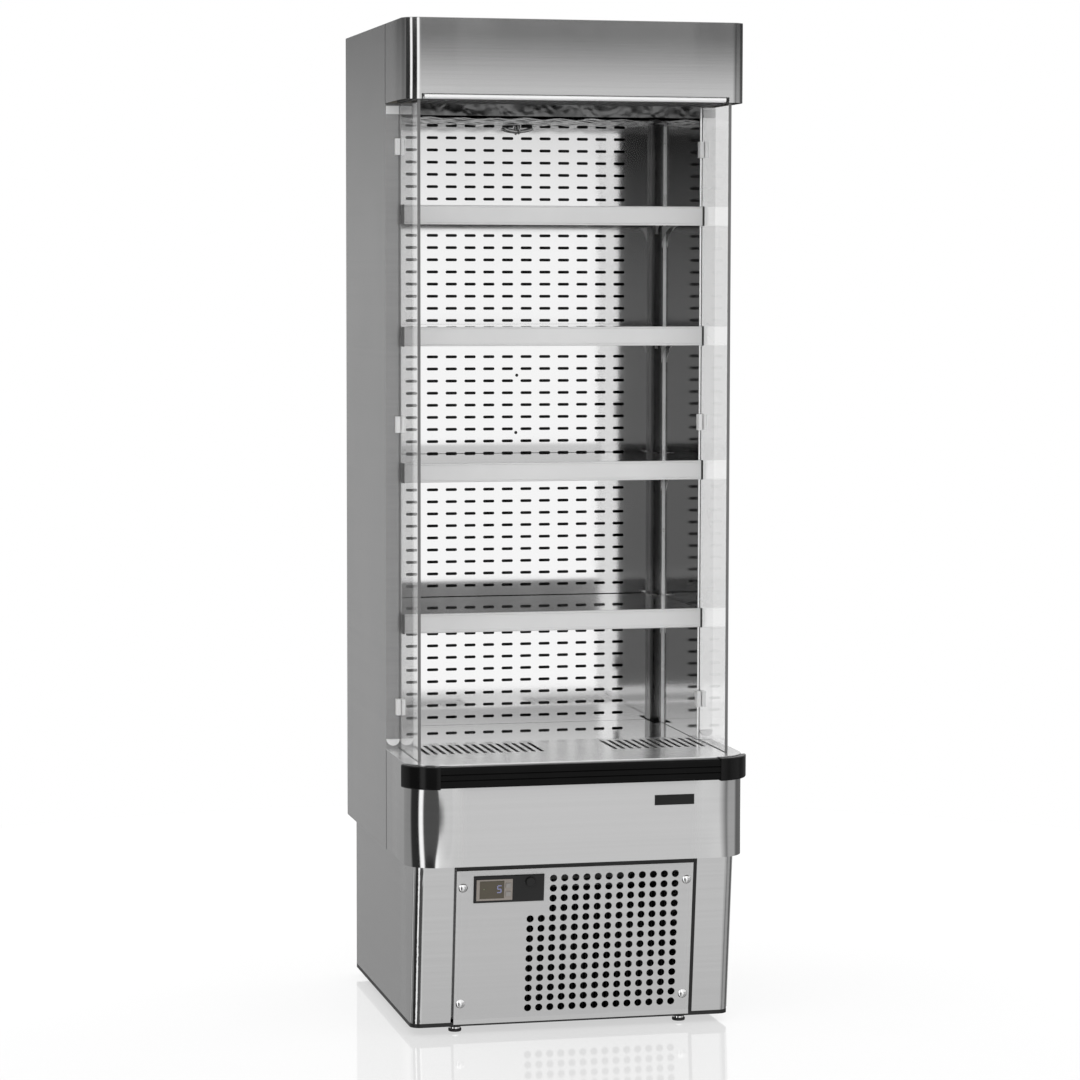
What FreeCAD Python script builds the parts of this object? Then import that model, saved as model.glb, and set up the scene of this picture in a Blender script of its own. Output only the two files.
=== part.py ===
"""Open multideck display fridge of the slim 700 mm class, in millimetres.

+Z is up, the open front faces -Y, and the origin is on the floor in the middle of the
footprint. Each function below makes one removable piece, or one group of like pieces.
"""
import FreeCAD, Part
import math
import os

from FreeCAD import Vector

# ---------------------------------------------------------------- driving dimensions
# cabinet
cabinet_width = 680.0
cabinet_depth = 650.0          # header front to rear skin
cabinet_height = 1980.0
nose = 58.0                    # bumper corners stand this far ahead of the header
header_height = 155.0
header_reach = 200.0           # header front to the front ends of the side walls
corner_radius = 30.0           # of the header
lower_corner_radius = 60.0     # of the lower front, its ledge and bumper
sheet = 1.0
side_wall = 36.0
rear_wall = 44.0
roof_wall = 54.0
body_floor = 18.0              # insulated floor under the cooled space
body_bottom = 344.0            # underside of the insulated body
deck_height = 545.0
seam = 2.0                     # open joint between front covers and side skins
fit = 0.3                      # gap between parts that are laid or slid together
running_fit = 0.05             # radial gap of a shaft in its bearing

# header and night blind
air_slot_cell = 17.0
air_slot_wall = 3.0
honeycomb_depth = 15.0
honeycomb_inset = 67.0         # header front to the honeycomb's front edge
honeycomb_seat = 10.0
blind_half_width = 300.0
blind_roll_radius = 21.0
blind_shaft_radius = 5.0
blind_bar_height = 10.0
blind_bar_depth = 19.0
blind_bar_inset = 1.0          # bar front behind the header front
blind_roll_height = 64.0       # roller axis above the bar's underside
blind_cloth_thickness = 0.5

# inside
ceiling_height = 1803.0
air_panel_inset = 527.0        # header front to the rear air panel
slot_length = 24.0
slot_width = 6.0
slot_pitch_x = 40.0
slot_pitch_z = 25.2
slot_first_row = 17.0          # lowest row above the deck
slot_columns = 12
upright_slot_pitch = 30.0
upright_slot_length = 18.0
upright_slot_width = 5.0
upright_width = 18.0
upright_lip = 7.0
upright_depth = 58.0
upright_web_setback = 38.0     # slotted web behind the upright's front lip
shelf_heights = (1626.0, 1386.0, 1116.0, 816.0)
shelf_inset = 175.0            # header front to the price rail's front
shelf_sheet = 1.2
shelf_edge = 12.0
shelf_rear_gap = 12.0
shelf_lift = 30.0
rail_height = 38.0
rail_thickness = 8.0
rail_cap = 4.5
bracket_thickness = 3.0
bracket_root = 50.0
bracket_tip = 11.0
bracket_curve = 120.0
bracket_flange = 12.0
hook_height = 14.0
hook_reach = 8.0

# glass panes
glass_thickness = 6.0
glass_front = 8.0              # behind the header front
glass_gap = 3.0                # inner face outside the liner's face
clip_height = 32.0
clip_depth = 17.0
clip_wall = 8.0
clip_levels = (1740.0, 1193.0, 630.0)
foot_disc_radius = 15.0

# deck and lower front
lower_nose = 43.0              # lower front panel ahead of the header front
ledge_depth = 127.0
return_grille_rear = 250.0     # header front to the rear edge of the air return grille
return_slot_width = 8.0
return_slot_pitch = 16.5
return_slot_margin = 18.0
return_slots_left = (-277.0, -23.0)
return_slots_right = (105.0, 298.0)
deck_edge = 14.0
bumper_height = 41.0
bumper_thickness = 13.0
bumper_drop = 4.0              # bumper top below the deck
bumper_cap_length = 69.0
bumper_cap_proud = 2.0
bumper_overall_width = 700.0
bumper_side_reach = 43.0

# base
base_width = 646.0
base_rear_inset = 12.0
base_corner_radius = 20.0
plinth_top_inset = -11.0       # header front to the plinth front, at its top
plinth_bottom_inset = 26.0     # and at its bottom
skirt_bottom = 24.0
tray_bottom = 16.0
tray_sheet = 2.0
post_inner = 245.0
panel_half_width = 239.0
panel_flange = 12.0
post_rail = 2.0
panel_sheet = 1.5
panel_bottom_gap = 5.0
panel_top_gap = 14.0
hole_radius = 7.3
hole_pitch_x = 22.5
hole_pitch_z = 20.15
hole_columns = 14
hole_rows = 14
hole_first_x = -90.0
hole_top = 309.0               # height of the top row
hole_short_columns = 2         # columns beside the controller start lower down
hole_short_start = 4
screw_x = 226.0
screw_levels = (296.0, 61.0)
screw_head_radius = 9.0
screw_head_height = 4.0

# controller, with heights above the floor
bezel_x = (-205.0, -64.0)
bezel_heights = (265.0, 319.0)
bezel_thickness = 3.0
bezel_rim = 3.0
thermostat_x = (-200.0, -128.0)
thermostat_heights = (270.0, 312.0)
thermostat_depth = 55.0
thermostat_proud = 1.0
display_x = (-193.5, -145.0)
display_heights = (274.0, 309.0)
display_thickness = 1.2
key_size = (10.0, 9.0)
key_x = -136.5
key_heights = (299.5, 282.5)
key_depth = 4.0
key_proud = 1.6
key_fit = 0.2
button_x = -92.0
button_height = 305.0
button_radius = 9.8
button_proud = 5.0
button_depth = 10.0

# machinery
compressor_radius = 75.0
compressor_height = 165.0
condenser_size = (300.0, 60.0, 240.0)
condenser_fins = 40
condenser_inset = 34.0         # plinth foot to the condenser's front face
fan_radius = 98.0
fan_gap = 4.0
fan_blades = 5
fan_hub_radius = 30.0
fan_depth = 26.0
fan_shaft_radius = 4.0
evaporator_size = (520.0, 120.0, 140.0)
evaporator_fins = 44
evaporator_front = 300.0       # header front to the coil's front face
cold_fan_radius = 70.0
cold_fan_plate_inset = 246.0
pipe_radius = 4.0
drain_radius = 10.0
drip_tray_size = (220.0, 150.0, 45.0)
drip_tray_wall = 1.5

# levelling feet
foot_radius = 13.0
foot_pad_height = 13.0
foot_stem_radius = 5.0
foot_stem_length = 32.0
foot_boss_radius = 9.0
foot_boss_height = 14.0
foot_x = 229.0
foot_front_inset = 35.0        # behind the plinth's foot
foot_rear_inset = 60.0

# ---------------------------------------------------------------- levels and planes
half = cabinet_width / 2
inner = half - side_wall
y_header = nose - (cabinet_depth + nose) / 2
y_rear = y_header + cabinet_depth
y_wall_end = y_header + header_reach
y_lower = y_header - lower_nose
z_header = cabinet_height - header_height
z_liner_top = cabinet_height - roof_wall
z_liner_floor = body_bottom + body_floor
y_liner_rear = y_rear - rear_wall
y_well_front = y_lower + 27.0
y_air_panel = y_header + air_panel_inset
y_shelf_front = y_header + shelf_inset
y_ledge_rear = y_lower + ledge_depth
y_return_rear = y_header + return_grille_rear
y_upright_front = y_air_panel - upright_depth
y_web = y_upright_front + upright_web_setback
glass_inner = inner + glass_gap
glass_outer = glass_inner + glass_thickness
y_glass_front = y_header + glass_front
base_half = base_width / 2
y_base_rear = y_rear - base_rear_inset
y_plinth_top = y_header + plinth_top_inset
y_plinth_foot = y_header + plinth_bottom_inset
plinth_tilt = math.degrees(
    math.atan2(y_plinth_foot - y_plinth_top, body_bottom - skirt_bottom)
)
plinth_length = math.hypot(y_plinth_foot - y_plinth_top, body_bottom - skirt_bottom)


def rise(height):
    """Distance up the raked front from its foot to a height above the floor."""
    return (height - skirt_bottom) / math.cos(math.radians(plinth_tilt))


bezel_z = [rise(h) for h in bezel_heights]
thermostat_z = [rise(h) for h in thermostat_heights]
display_z = [rise(h) for h in display_heights]
key_levels = [rise(h) for h in key_heights]
button_z = rise(button_height)
z_bar = z_header + sheet
z_roller = z_bar + blind_roll_height
y_cloth = y_header + blind_bar_inset + blind_bar_depth - 3.0
y_roller = y_cloth + blind_roll_radius
bracket_x = inner - upright_width / 2
y_drain = y_liner_rear - 60.0
y_pipes = y_liner_rear - 95.0
suction_x, liquid_x = -280.0, -240.0
z_upright_foot = deck_height - deck_edge - fit


# ---------------------------------------------------------------- shape helpers
def box(x0, x1, y0, y1, z0, z1):
    return Part.makeBox(x1 - x0, y1 - y0, z1 - z0, Vector(x0, y0, z0))


def rod(radius, start, end):
    start, end = Vector(*start), Vector(*end)
    return Part.makeCylinder(radius, (end - start).Length, start, end - start)


def mirrored(shape):
    return shape.mirror(Vector(0, 0, 0), Vector(1, 0, 0))


def pair(shape):
    """A right-hand piece and its left-hand twin."""
    return Part.makeCompound([shape, mirrored(shape)])


def group(shapes):
    return Part.makeCompound(list(shapes))


def fused(first, *others):
    return first.multiFuse(list(others)).removeSplitter()


def polygon(points, thickness):
    """A flat outline, closed and extruded along a vector."""
    corners = [Vector(*p) for p in points]
    return Part.Face(Part.makePolygon(corners + corners[:1])).extrude(Vector(*thickness))


def holed_plate(outline, holes, thickness):
    face = Part.Face([outline] + holes)
    face.validate()
    return face.extrude(Vector(*thickness))


def rectangle(x0, x1, z0, z1, y):
    """Upright rectangle in the plane at y."""
    return Part.makePolygon(
        [Vector(x0, y, z0), Vector(x1, y, z0), Vector(x1, y, z1), Vector(x0, y, z1), Vector(x0, y, z0)]
    )


def flat_rectangle(x0, x1, y0, y1, z):
    return Part.makePolygon(
        [Vector(x0, y0, z), Vector(x1, y0, z), Vector(x1, y1, z), Vector(x0, y1, z), Vector(x0, y0, z)]
    )


def slot(centre, along, across, length, width):
    """Round-ended slot wire about a centre, with unit vectors along and across it."""
    centre, along, across = Vector(*centre), Vector(*along), Vector(*across)
    run, radius = (length - width) / 2, width / 2
    a = centre - along * run + across * radius
    b = centre + along * run + across * radius
    c = centre + along * run - across * radius
    d = centre - along * run - across * radius
    right = centre + along * (run + radius)
    left = centre - along * (run + radius)
    return Part.Wire(
        [
            Part.makeLine(a, b),
            Part.Arc(b, right, c).toShape(),
            Part.makeLine(c, d),
            Part.Arc(d, left, a).toShape(),
        ]
    )


def circle(centre, radius, normal=(0, 1, 0)):
    return Part.Wire([Part.makeCircle(radius, Vector(*centre), Vector(*normal))])


def front_outline(half_width, y_front, y_back, radius, z):
    """Plan outline with round front corners and square rear ones."""
    bend = radius * (1 - math.sqrt(0.5))
    a = Vector(-half_width, y_back, z)
    b = Vector(-half_width, y_front + radius, z)
    c = Vector(-half_width + radius, y_front, z)
    d = Vector(half_width - radius, y_front, z)
    e = Vector(half_width, y_front + radius, z)
    f = Vector(half_width, y_back, z)
    return Part.Wire(
        [
            Part.makeLine(a, b),
            Part.Arc(b, Vector(-half_width + bend, y_front + bend, z), c).toShape(),
            Part.makeLine(c, d),
            Part.Arc(d, Vector(half_width - bend, y_front + bend, z), e).toShape(),
            Part.makeLine(e, f),
            Part.makeLine(f, a),
        ]
    )


def front_block(half_width, y_front, y_back, radius, z0, z1):
    outline = front_outline(half_width, y_front, y_back, radius, z0)
    return Part.Face(outline).extrude(Vector(0, 0, z1 - z0))


def front_skin(half_width, y_front, y_back, radius, z0, z1):
    """A sheet bent round the front and both sides."""
    outer = front_block(half_width, y_front, y_back, radius, z0, z1)
    core = front_block(half_width - sheet, y_front + sheet, y_back + sheet, radius - sheet, z0, z1)
    return outer.cut(core)


def on_plinth(shape):
    """Puts a piece drawn upright, its front at y 0 and its foot at z 0, on the sloped front."""
    placed = shape.copy()
    placed.rotate(Vector(0, 0, 0), Vector(1, 0, 0), plinth_tilt)
    placed.translate(Vector(0, y_plinth_foot, skirt_bottom))
    return placed


def pipe(points, radius, bend):
    """Round pipe along straight runs joined by tangent arcs of one bend radius."""
    corners = [Vector(*p) for p in points]
    edges, start = [], corners[0]
    for before, corner, after in zip(corners, corners[1:], corners[2:]):
        back = (before - corner).normalize()
        ahead = (after - corner).normalize()
        angle = back.getAngle(ahead)
        trim = bend / math.tan(angle / 2)
        middle = (back + ahead).normalize()
        centre = corner + middle * (bend / math.sin(angle / 2))
        arc_from = corner + back * trim
        arc_to = corner + ahead * trim
        edges.append(Part.makeLine(start, arc_from))
        edges.append(Part.Arc(arc_from, centre - middle * bend, arc_to).toShape())
        start = arc_to
    edges.append(Part.makeLine(start, corners[-1]))
    path = Part.Wire(edges)
    profile = Part.Wire([Part.makeCircle(radius, corners[0], corners[1] - corners[0])])
    return path.makePipeShell([profile], True, True)


def finned_block(x0, x1, y0, y1, z0, z1, fins):
    """Coil of plate fins, cut as one comb with a closed rear spine of tubes."""
    pitch = (x1 - x0) / fins
    fin = pitch * 0.35
    points = [(x0, y1, z0)]
    for i in range(fins):
        left = x0 + i * pitch
        points += [(left, y0, z0), (left + fin, y0, z0), (left + fin, y1 - fin * 2, z0)]
        points.append((left + pitch, y1 - fin * 2, z0))
    points += [(x1, y0, z0), (x1 + fin, y0, z0), (x1 + fin, y1, z0)]
    return polygon(points, (0, 0, z1 - z0))


def fan_wheel(centre, radius, hub_radius, depth, bore):
    """Axial fan wheel that turns about Y, with flat pitched blades."""
    cx, cy, cz = centre
    hub = rod(hub_radius, (cx, cy - depth / 2, cz), (cx, cy + depth / 2, cz))
    rim = rod(radius, (cx, cy - depth / 2, cz), (cx, cy + depth / 2, cz))
    blade_width = radius * 0.62
    blades = []
    for i in range(fan_blades):
        blade = box(-blade_width / 2, blade_width / 2, -0.8, 0.8, hub_radius * 0.8, radius * 1.1)
        blade.rotate(Vector(0, 0, 0), Vector(0, 0, 1), 24)
        blade.rotate(Vector(0, 0, 0), Vector(0, 1, 0), 360.0 * i / fan_blades)
        blade.translate(Vector(cx, cy, cz))
        blades.append(blade.common(rim))
    wheel = fused(hub, *blades)
    return wheel.cut(rod(bore, (cx, cy - depth, cz), (cx, cy + depth, cz)))


# ---------------------------------------------------------------- insulated body
def side_skin():
    """Right-hand outer skin: side sheet, front end face and a short inner return."""
    side = box(half - sheet, half, y_wall_end, y_rear, body_bottom, cabinet_height - sheet)
    end = box(inner, half, y_wall_end, y_wall_end + sheet, deck_height, z_header)
    return fused(side, end, end_lip())


def end_lip():
    """Hem of the right-hand end face, tucked between the liner and the foam."""
    x = inner + sheet
    return box(x, x + sheet, y_wall_end, y_wall_end + 12 * sheet, deck_height, z_header)


def passages(drain_hole):
    """Clear ways through the insulated floor for two pipes and the drain."""
    z0, z1 = body_bottom - 5, z_liner_floor + 5
    pipes = [
        rod(pipe_radius + 1, (x, y_pipes, z0), (x, y_pipes, z1)) for x in (suction_x, liquid_x)
    ]
    return group(pipes + [rod(drain_hole, (0, y_drain, z0), (0, y_drain, z1))])


def rear_skin():
    """Rear sheet, folded forward under the insulated floor."""
    inside = half - sheet
    rear = box(-inside, inside, y_rear - sheet, y_rear, body_bottom, cabinet_height - sheet)
    floor = front_block(
        inside, y_lower + sheet, y_rear, lower_corner_radius - sheet, body_bottom, body_bottom + sheet
    )
    floor = floor.cut(
        box(-half, half, y_lower, y_lower + 20 * sheet, body_bottom - sheet, deck_height)
    )
    return fused(rear, floor).cut(passages(drain_radius))


def roof_skin():
    return front_block(half, y_header, y_rear, corner_radius, cabinet_height - sheet, cabinet_height)


def liner_blocks(grow):
    """Cooled space and the well ahead of it, grown outwards by a sheet where asked."""
    x = inner + grow
    upper = box(-x, x, y_wall_end + sheet, y_liner_rear + grow, z_liner_floor - grow, z_liner_top + grow)
    well = box(-x, x, y_well_front - grow, y_wall_end + 2 * sheet, z_liner_floor - grow, deck_height - sheet)
    return upper.fuse(well).removeSplitter()


def inner_liner():
    """Open-fronted steel liner with a ledge each side that carries the deck."""
    hollow = liner_blocks(0)
    front = box(-inner, inner, y_wall_end - 5, y_wall_end + 5, deck_height - sheet, z_liner_top)
    top = box(-inner, inner, y_well_front, y_wall_end + 5, deck_height - 5, deck_height + 5)
    liner = liner_blocks(sheet).cut(hollow.multiFuse([front, top]))
    shelf_edge_z = deck_height - deck_edge - fit
    ledge = box(
        inner - 12, inner + sheet / 2, y_well_front, y_air_panel, shelf_edge_z - sheet, shelf_edge_z
    )
    return fused(liner, ledge, mirrored(ledge)).cut(passages(drain_radius - 2))


def insulation():
    """Foam between the skins and the liner, one moulding."""
    body = box(
        sheet - half, half - sheet, y_wall_end + sheet, y_rear - sheet, body_bottom + sheet,
        cabinet_height - sheet,
    )
    well = front_block(
        half - sheet, y_lower + sheet, y_wall_end + sheet, lower_corner_radius - sheet,
        body_bottom + sheet, deck_height - sheet,
    )
    foam = body.fuse(well).removeSplitter().cut(liner_blocks(sheet))
    return foam.cut(pair(end_lip())).cut(passages(drain_radius))


# ---------------------------------------------------------------- header and night blind
def header_cover():
    """Front cover with round corners, notched for the blind's bar, with carrying flanges."""
    cover = front_skin(
        half, y_header, y_wall_end - seam, corner_radius, z_header, cabinet_height - sheet
    )
    notch = box(
        -blind_half_width - 6, blind_half_width + 6, y_header - 5, y_header + 5, z_header - 5,
        z_bar + blind_bar_height + fit,
    )
    flange = front_block(
        half - sheet / 2, y_header + sheet / 2, y_wall_end - seam, corner_radius - sheet / 2,
        z_header, z_header + sheet,
    )
    window = box(-glass_inner, glass_inner, y_header - 5, y_wall_end, z_header - 5, z_header + 5)
    return fused(cover.cut(notch), flange.cut(window))


def blind_cassette():
    """Aluminium housing across the header, on two end plates that hold the roller."""
    reach = blind_half_width + 18
    y0, y1 = y_cloth - 6.0, y_roller + blind_roll_radius + 6.0
    z0, z1 = z_bar + blind_bar_height + fit, z_roller + blind_roll_radius + 6.0
    shell = box(-reach, reach, y0, y1, z0, z1)
    hollow = box(-reach - 5, reach + 5, y0 + 2, y1 - 2, z0 + 2, z1 - 2)
    mouth = box(-reach - 5, reach + 5, y_cloth - 4, y_cloth + 4, z0 - 5, z0 + 5)
    plate = box(
        blind_half_width + 8, blind_half_width + 12, y0 + 1, y1 - 1, z_header + sheet, z1 - 1
    )
    bearing = rod(
        blind_shaft_radius + running_fit, (0, y_roller, z_roller), (reach, y_roller, z_roller)
    )
    plate = plate.cut(bearing)
    return fused(shell.cut(hollow).cut(mouth), plate, mirrored(plate))


def blind_roller():
    drum = rod(
        blind_roll_radius, (-blind_half_width, y_roller, z_roller), (blind_half_width, y_roller, z_roller)
    )
    reach = blind_half_width + 14
    shaft = rod(blind_shaft_radius, (-reach, y_roller, z_roller), (reach, y_roller, z_roller))
    return fused(drum, shaft)


def blind_cloth():
    """Hanging end of the cloth between the roller and the pull bar."""
    x = blind_half_width - 3
    return box(
        -x, x, y_cloth - fit - blind_cloth_thickness, y_cloth - fit,
        z_bar + blind_bar_height + fit, z_roller,
    )


def blind_pull_bar():
    """Extruded bar with a rolled front nose and a finger groove underneath."""
    x, y0 = blind_half_width, y_header + blind_bar_inset
    y1 = y0 + blind_bar_depth
    nose_radius = blind_bar_height / 2
    core = box(-x, x, y0 + nose_radius, y1, z_bar, z_bar + blind_bar_height)
    front = rod(nose_radius, (-x, y0 + nose_radius, z_bar + nose_radius), (x, y0 + nose_radius, z_bar + nose_radius))
    groove = box(-x - 5, x + 5, y0 + 8, y1 - 4, z_bar - 5, z_bar + blind_bar_height * 0.4)
    return fused(core, front).cut(groove)


def discharge_honeycomb():
    """Grid that straightens the air curtain, laid on the header's flanges."""
    x = glass_inner + honeycomb_seat
    y0, y1 = y_header + honeycomb_inset, y_wall_end - 2 * seam
    pitch = air_slot_cell + air_slot_wall
    columns = int((2 * glass_inner - 10) // pitch)
    rows = int((y1 - y0 - 6) // pitch)
    holes = []
    for i in range(columns):
        left = (i - columns / 2) * pitch + air_slot_wall / 2
        for j in range(rows):
            front = (y0 + y1) / 2 + (j - rows / 2) * pitch + air_slot_wall / 2
            holes.append(
                flat_rectangle(left, left + air_slot_cell, front, front + air_slot_cell, z_header + sheet)
            )
    outline = flat_rectangle(-x, x, y0, y1, z_header + sheet)
    return holed_plate(outline, holes, (0, 0, honeycomb_depth))


def ceiling_panel():
    """Sheet under the air duct, turned up at the front behind the honeycomb."""
    x = inner - fit
    flat = box(-x, x, y_wall_end, y_air_panel + sheet, ceiling_height, ceiling_height + sheet)
    rise = box(
        -x, x, y_wall_end, y_wall_end + sheet, ceiling_height, z_header + sheet + honeycomb_depth
    )
    side = box(
        x - sheet, x, y_wall_end + 2 * sheet, y_air_panel, ceiling_height, ceiling_height + 15
    )
    return fused(flat, rise, side, mirrored(side))


# ---------------------------------------------------------------- inside the cooled space
def rear_air_panel():
    """Slotted sheet in front of the rising cold air."""
    x = inner - fit
    z0, z1 = deck_height - 2 * deck_edge, ceiling_height
    first = deck_height + slot_first_row
    rows = int((z1 - slot_width - first) // slot_pitch_z) + 1
    holes = []
    for row in range(rows):
        for column in range(slot_columns):
            cx = (column - (slot_columns - 1) / 2) * slot_pitch_x
            cz = first + row * slot_pitch_z
            holes.append(slot((cx, y_air_panel, cz), (1, 0, 0), (0, 0, 1), slot_length, slot_width))
    return holed_plate(rectangle(-x, x, z0, z1, y_air_panel), holes, (0, sheet, 0))


def temperature_probe():
    """Ring clip under the ceiling and the curved probe that hangs in it."""
    y = y_air_panel - 14.0
    ring_radius, wire = 9.5, 1.6
    z_ring = ceiling_height - ring_radius - 2 * wire
    ring = Part.makeTorus(ring_radius, wire, Vector(0, y, z_ring), Vector(1, 0, 0))
    stud = rod(2.5, (0, y, z_ring + ring_radius), (0, y, ceiling_height))
    probe_radius, sag, reach = 3.5, 6.0, 30.0
    z_probe = z_ring - ring_radius + wire + probe_radius
    middle = Vector(0, y, z_probe)
    arc = Part.Arc(Vector(-reach, y, z_probe + sag), middle, Vector(reach, y, z_probe + sag))
    path = Part.Wire([arc.toShape()])
    direction = arc.tangent(arc.FirstParameter)[0]
    end = Part.Wire([Part.makeCircle(probe_radius, Vector(-reach, y, z_probe + sag), direction)])
    probe = path.makePipeShell([end], True, True)
    return group([fused(ring, stud), probe])


def upright():
    """Right-hand slotted upright in the rear corner."""
    x0, x1 = inner - upright_width, inner
    t = sheet * 1.5
    y0, y1 = y_upright_front, y_air_panel - fit
    z0, z1 = z_upright_foot, ceiling_height - fit
    web = holed_plate(
        rectangle(x0, x1, z0, z1, y_web),
        [
            slot((bracket_x, y_web, z), (0, 0, 1), (1, 0, 0), upright_slot_length, upright_slot_width)
            for z in upright_slots()
        ],
        (0, t, 0),
    )
    flange = box(x1 - t, x1, y0, y1, z0, z1)
    lip = box(x1 - upright_lip, x1, y0, y0 + t, z0, z1)
    back = box(x0, x0 + t, y_web, y1, z0, z1)
    return fused(web, flange, lip, back)


def upright_slots():
    """Slot centres at the upright's pitch, in step with the top shelf."""
    top = shelf_heights[0] - shelf_sheet - hook_height
    levels, z = [], top + 5 * upright_slot_pitch
    while z > deck_height + upright_slot_pitch:
        levels.append(z)
        z -= upright_slot_pitch
    return levels


def shelf_bracket(height):
    """Right-hand cantilever bracket that hooks into the upright under one shelf."""
    x0 = bracket_x - bracket_thickness / 2
    top = height - shelf_sheet - fit
    y_root = y_web - fit
    y_tip = y_shelf_front + rail_thickness + 20
    y_bend = y_root - bracket_curve
    z_root, z_tip = top - bracket_root, top - bracket_tip
    middle = Vector(x0, y_root - bracket_curve * 0.34, z_tip - (z_tip - z_root) * 0.28)
    outline = Part.Wire(
        [
            Part.makeLine(Vector(x0, y_tip, top), Vector(x0, y_tip, z_tip + 4)),
            Part.makeLine(Vector(x0, y_tip, z_tip + 4), Vector(x0, y_bend, z_tip)),
            Part.Arc(Vector(x0, y_bend, z_tip), middle, Vector(x0, y_root, z_root)).toShape(),
            Part.makeLine(Vector(x0, y_root, z_root), Vector(x0, y_root, top)),
            Part.makeLine(Vector(x0, y_root, top), Vector(x0, y_tip, top)),
        ]
    )
    arm = Part.Face(outline).extrude(Vector(bracket_thickness, 0, 0))
    x1 = x0 + bracket_thickness
    seat = box(x1 - bracket_flange, x1, y_tip, y_root, top - bracket_thickness / 2, top)
    rear_tab = box(x0, x1 + 3, y_root - bracket_thickness / 2, y_root, z_root, top)
    centre = height - shelf_sheet - hook_height
    y_hook = y_web + sheet * 1.5 + fit
    neck = box(x0, x1, y_root - 1, y_hook + hook_reach * 0.5, centre - 2, centre + 6)
    hook = box(x0, x1, y_hook, y_hook + hook_reach * 0.5, centre - hook_reach, centre + 6)
    return fused(arm, seat, rear_tab, neck, hook)


def shelf_brackets():
    """All eight brackets, a pair at each shelf height."""
    right = [shelf_bracket(h) for h in shelf_heights]
    return group(right + [mirrored(b) for b in right])


def shelf_tray(height):
    """Polished tray with turned-down edges, notched round the uprights."""
    x = inner - 2.0
    y0, y1 = y_shelf_front + rail_thickness, y_air_panel - shelf_rear_gap
    top = height
    under = top - shelf_sheet
    y_notch = y_upright_front - 4
    x_notch = inner - upright_width - 4
    plate = box(-x, x, y0, y_notch, under, top)
    tongue = box(-x_notch, x_notch, y0, y1, under, top)
    front = box(-x, x, y0, y0 + shelf_sheet, top - rail_height + 4, top)
    side = box(x - shelf_sheet, x, y0, y_notch, top - shelf_edge, top)
    rear = box(-x_notch, x_notch, y1 - shelf_sheet, y1, top - shelf_edge, top)
    rib_y = (y0 + y1) / 2
    rib = box(
        -bracket_x + bracket_flange + 4, bracket_x - bracket_flange - 4, rib_y, rib_y + 30,
        under - 8, under,
    )
    rib = rib.cut(
        box(-x, x, rib_y + shelf_sheet, rib_y + 30 - shelf_sheet, under - 8 + shelf_sheet, under)
    )
    return fused(plate, tongue, front, side, mirrored(side), rear, rib)


def price_rail(height):
    """Ticket rail clipped on a shelf's front edge, with its two end caps."""
    x = inner - 2.0
    y0 = y_shelf_front
    y1 = y0 + rail_thickness
    z0, z1 = height - rail_height, height
    lip = 3.0
    profile = [
        (-x, y0 + 1.5, z0), (-x, y0, z0 + 1.5), (-x, y0, z0 + lip), (-x, y0 + 2, z0 + lip + 1),
        (-x, y0 + 2, z1 - lip - 1), (-x, y0, z1 - lip), (-x, y0, z1 - 1.5), (-x, y0 + 1.5, z1),
        (-x, y1, z1), (-x, y1, z1 - 3), (-x, y0 + 4, z1 - 3), (-x, y0 + 4, z0 + 3), (-x, y1, z0 + 3),
        (-x, y1, z0),
    ]
    rail = polygon(profile, (2 * x, 0, 0))
    cap = box(x, x + rail_cap, y0 - 0.5, y1 + 4, z0 - 0.5, z1 + 0.5)
    return group([rail, cap, mirrored(cap)])


# ---------------------------------------------------------------- glass
def glass_pane():
    """Right-hand pane from the ledge to the header, its front corners rounded."""
    y0, y1 = y_glass_front, y_wall_end - fit
    z0, z1 = deck_height + fit, z_header - fit
    pane = box(glass_inner, glass_outer, y0, y1, z0, z1)
    front_edges = [
        e for e in pane.Edges
        if abs(e.BoundBox.YLength) < 1e-6 and abs(e.CenterOfMass.y - y0) < 1e-6
        and e.BoundBox.ZLength > 1
    ]
    return pane.makeChamfer(1.0, front_edges)


def glass_clips():
    """Clamps at the rear edge of each pane, top tabs and half-round foot buttons."""
    solids = []
    for level in clip_levels:
        z0, z1 = level - clip_height / 2, level + clip_height / 2
        clamp = box(glass_inner - clip_wall, glass_outer + clip_wall, y_wall_end - clip_depth, y_wall_end, z0, z1)
        jaw = box(
            glass_inner - fit, glass_outer + fit, y_wall_end - clip_depth - 5, y_wall_end + 5, z0 - 5, z1 + 5
        )
        spine = box(glass_inner - clip_wall, glass_outer + clip_wall, y_wall_end - 5, y_wall_end, z0, z1)
        slit = box(glass_inner - fit, glass_outer + fit, y_wall_end - 5, y_wall_end, z0, z1)
        solids += [s for s in fused(clamp, spine).cut(jaw.fuse(slit)).Solids]
    tab = box(glass_outer + fit, half - 2, y_wall_end - 5, y_wall_end, z_header - 21, z_header - 5)
    x_disc = (glass_outer + half) / 2
    z_disc = deck_height + foot_disc_radius + 5
    disc = rod(foot_disc_radius - 2, (x_disc, y_wall_end - 6, z_disc), (x_disc, y_wall_end, z_disc))
    upper = box(x_disc - 40, x_disc + 40, y_wall_end - 10, y_wall_end, z_disc, z_disc + 40)
    solids += [tab, disc.cut(upper)]
    return group(solids + [mirrored(s) for s in solids])


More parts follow.
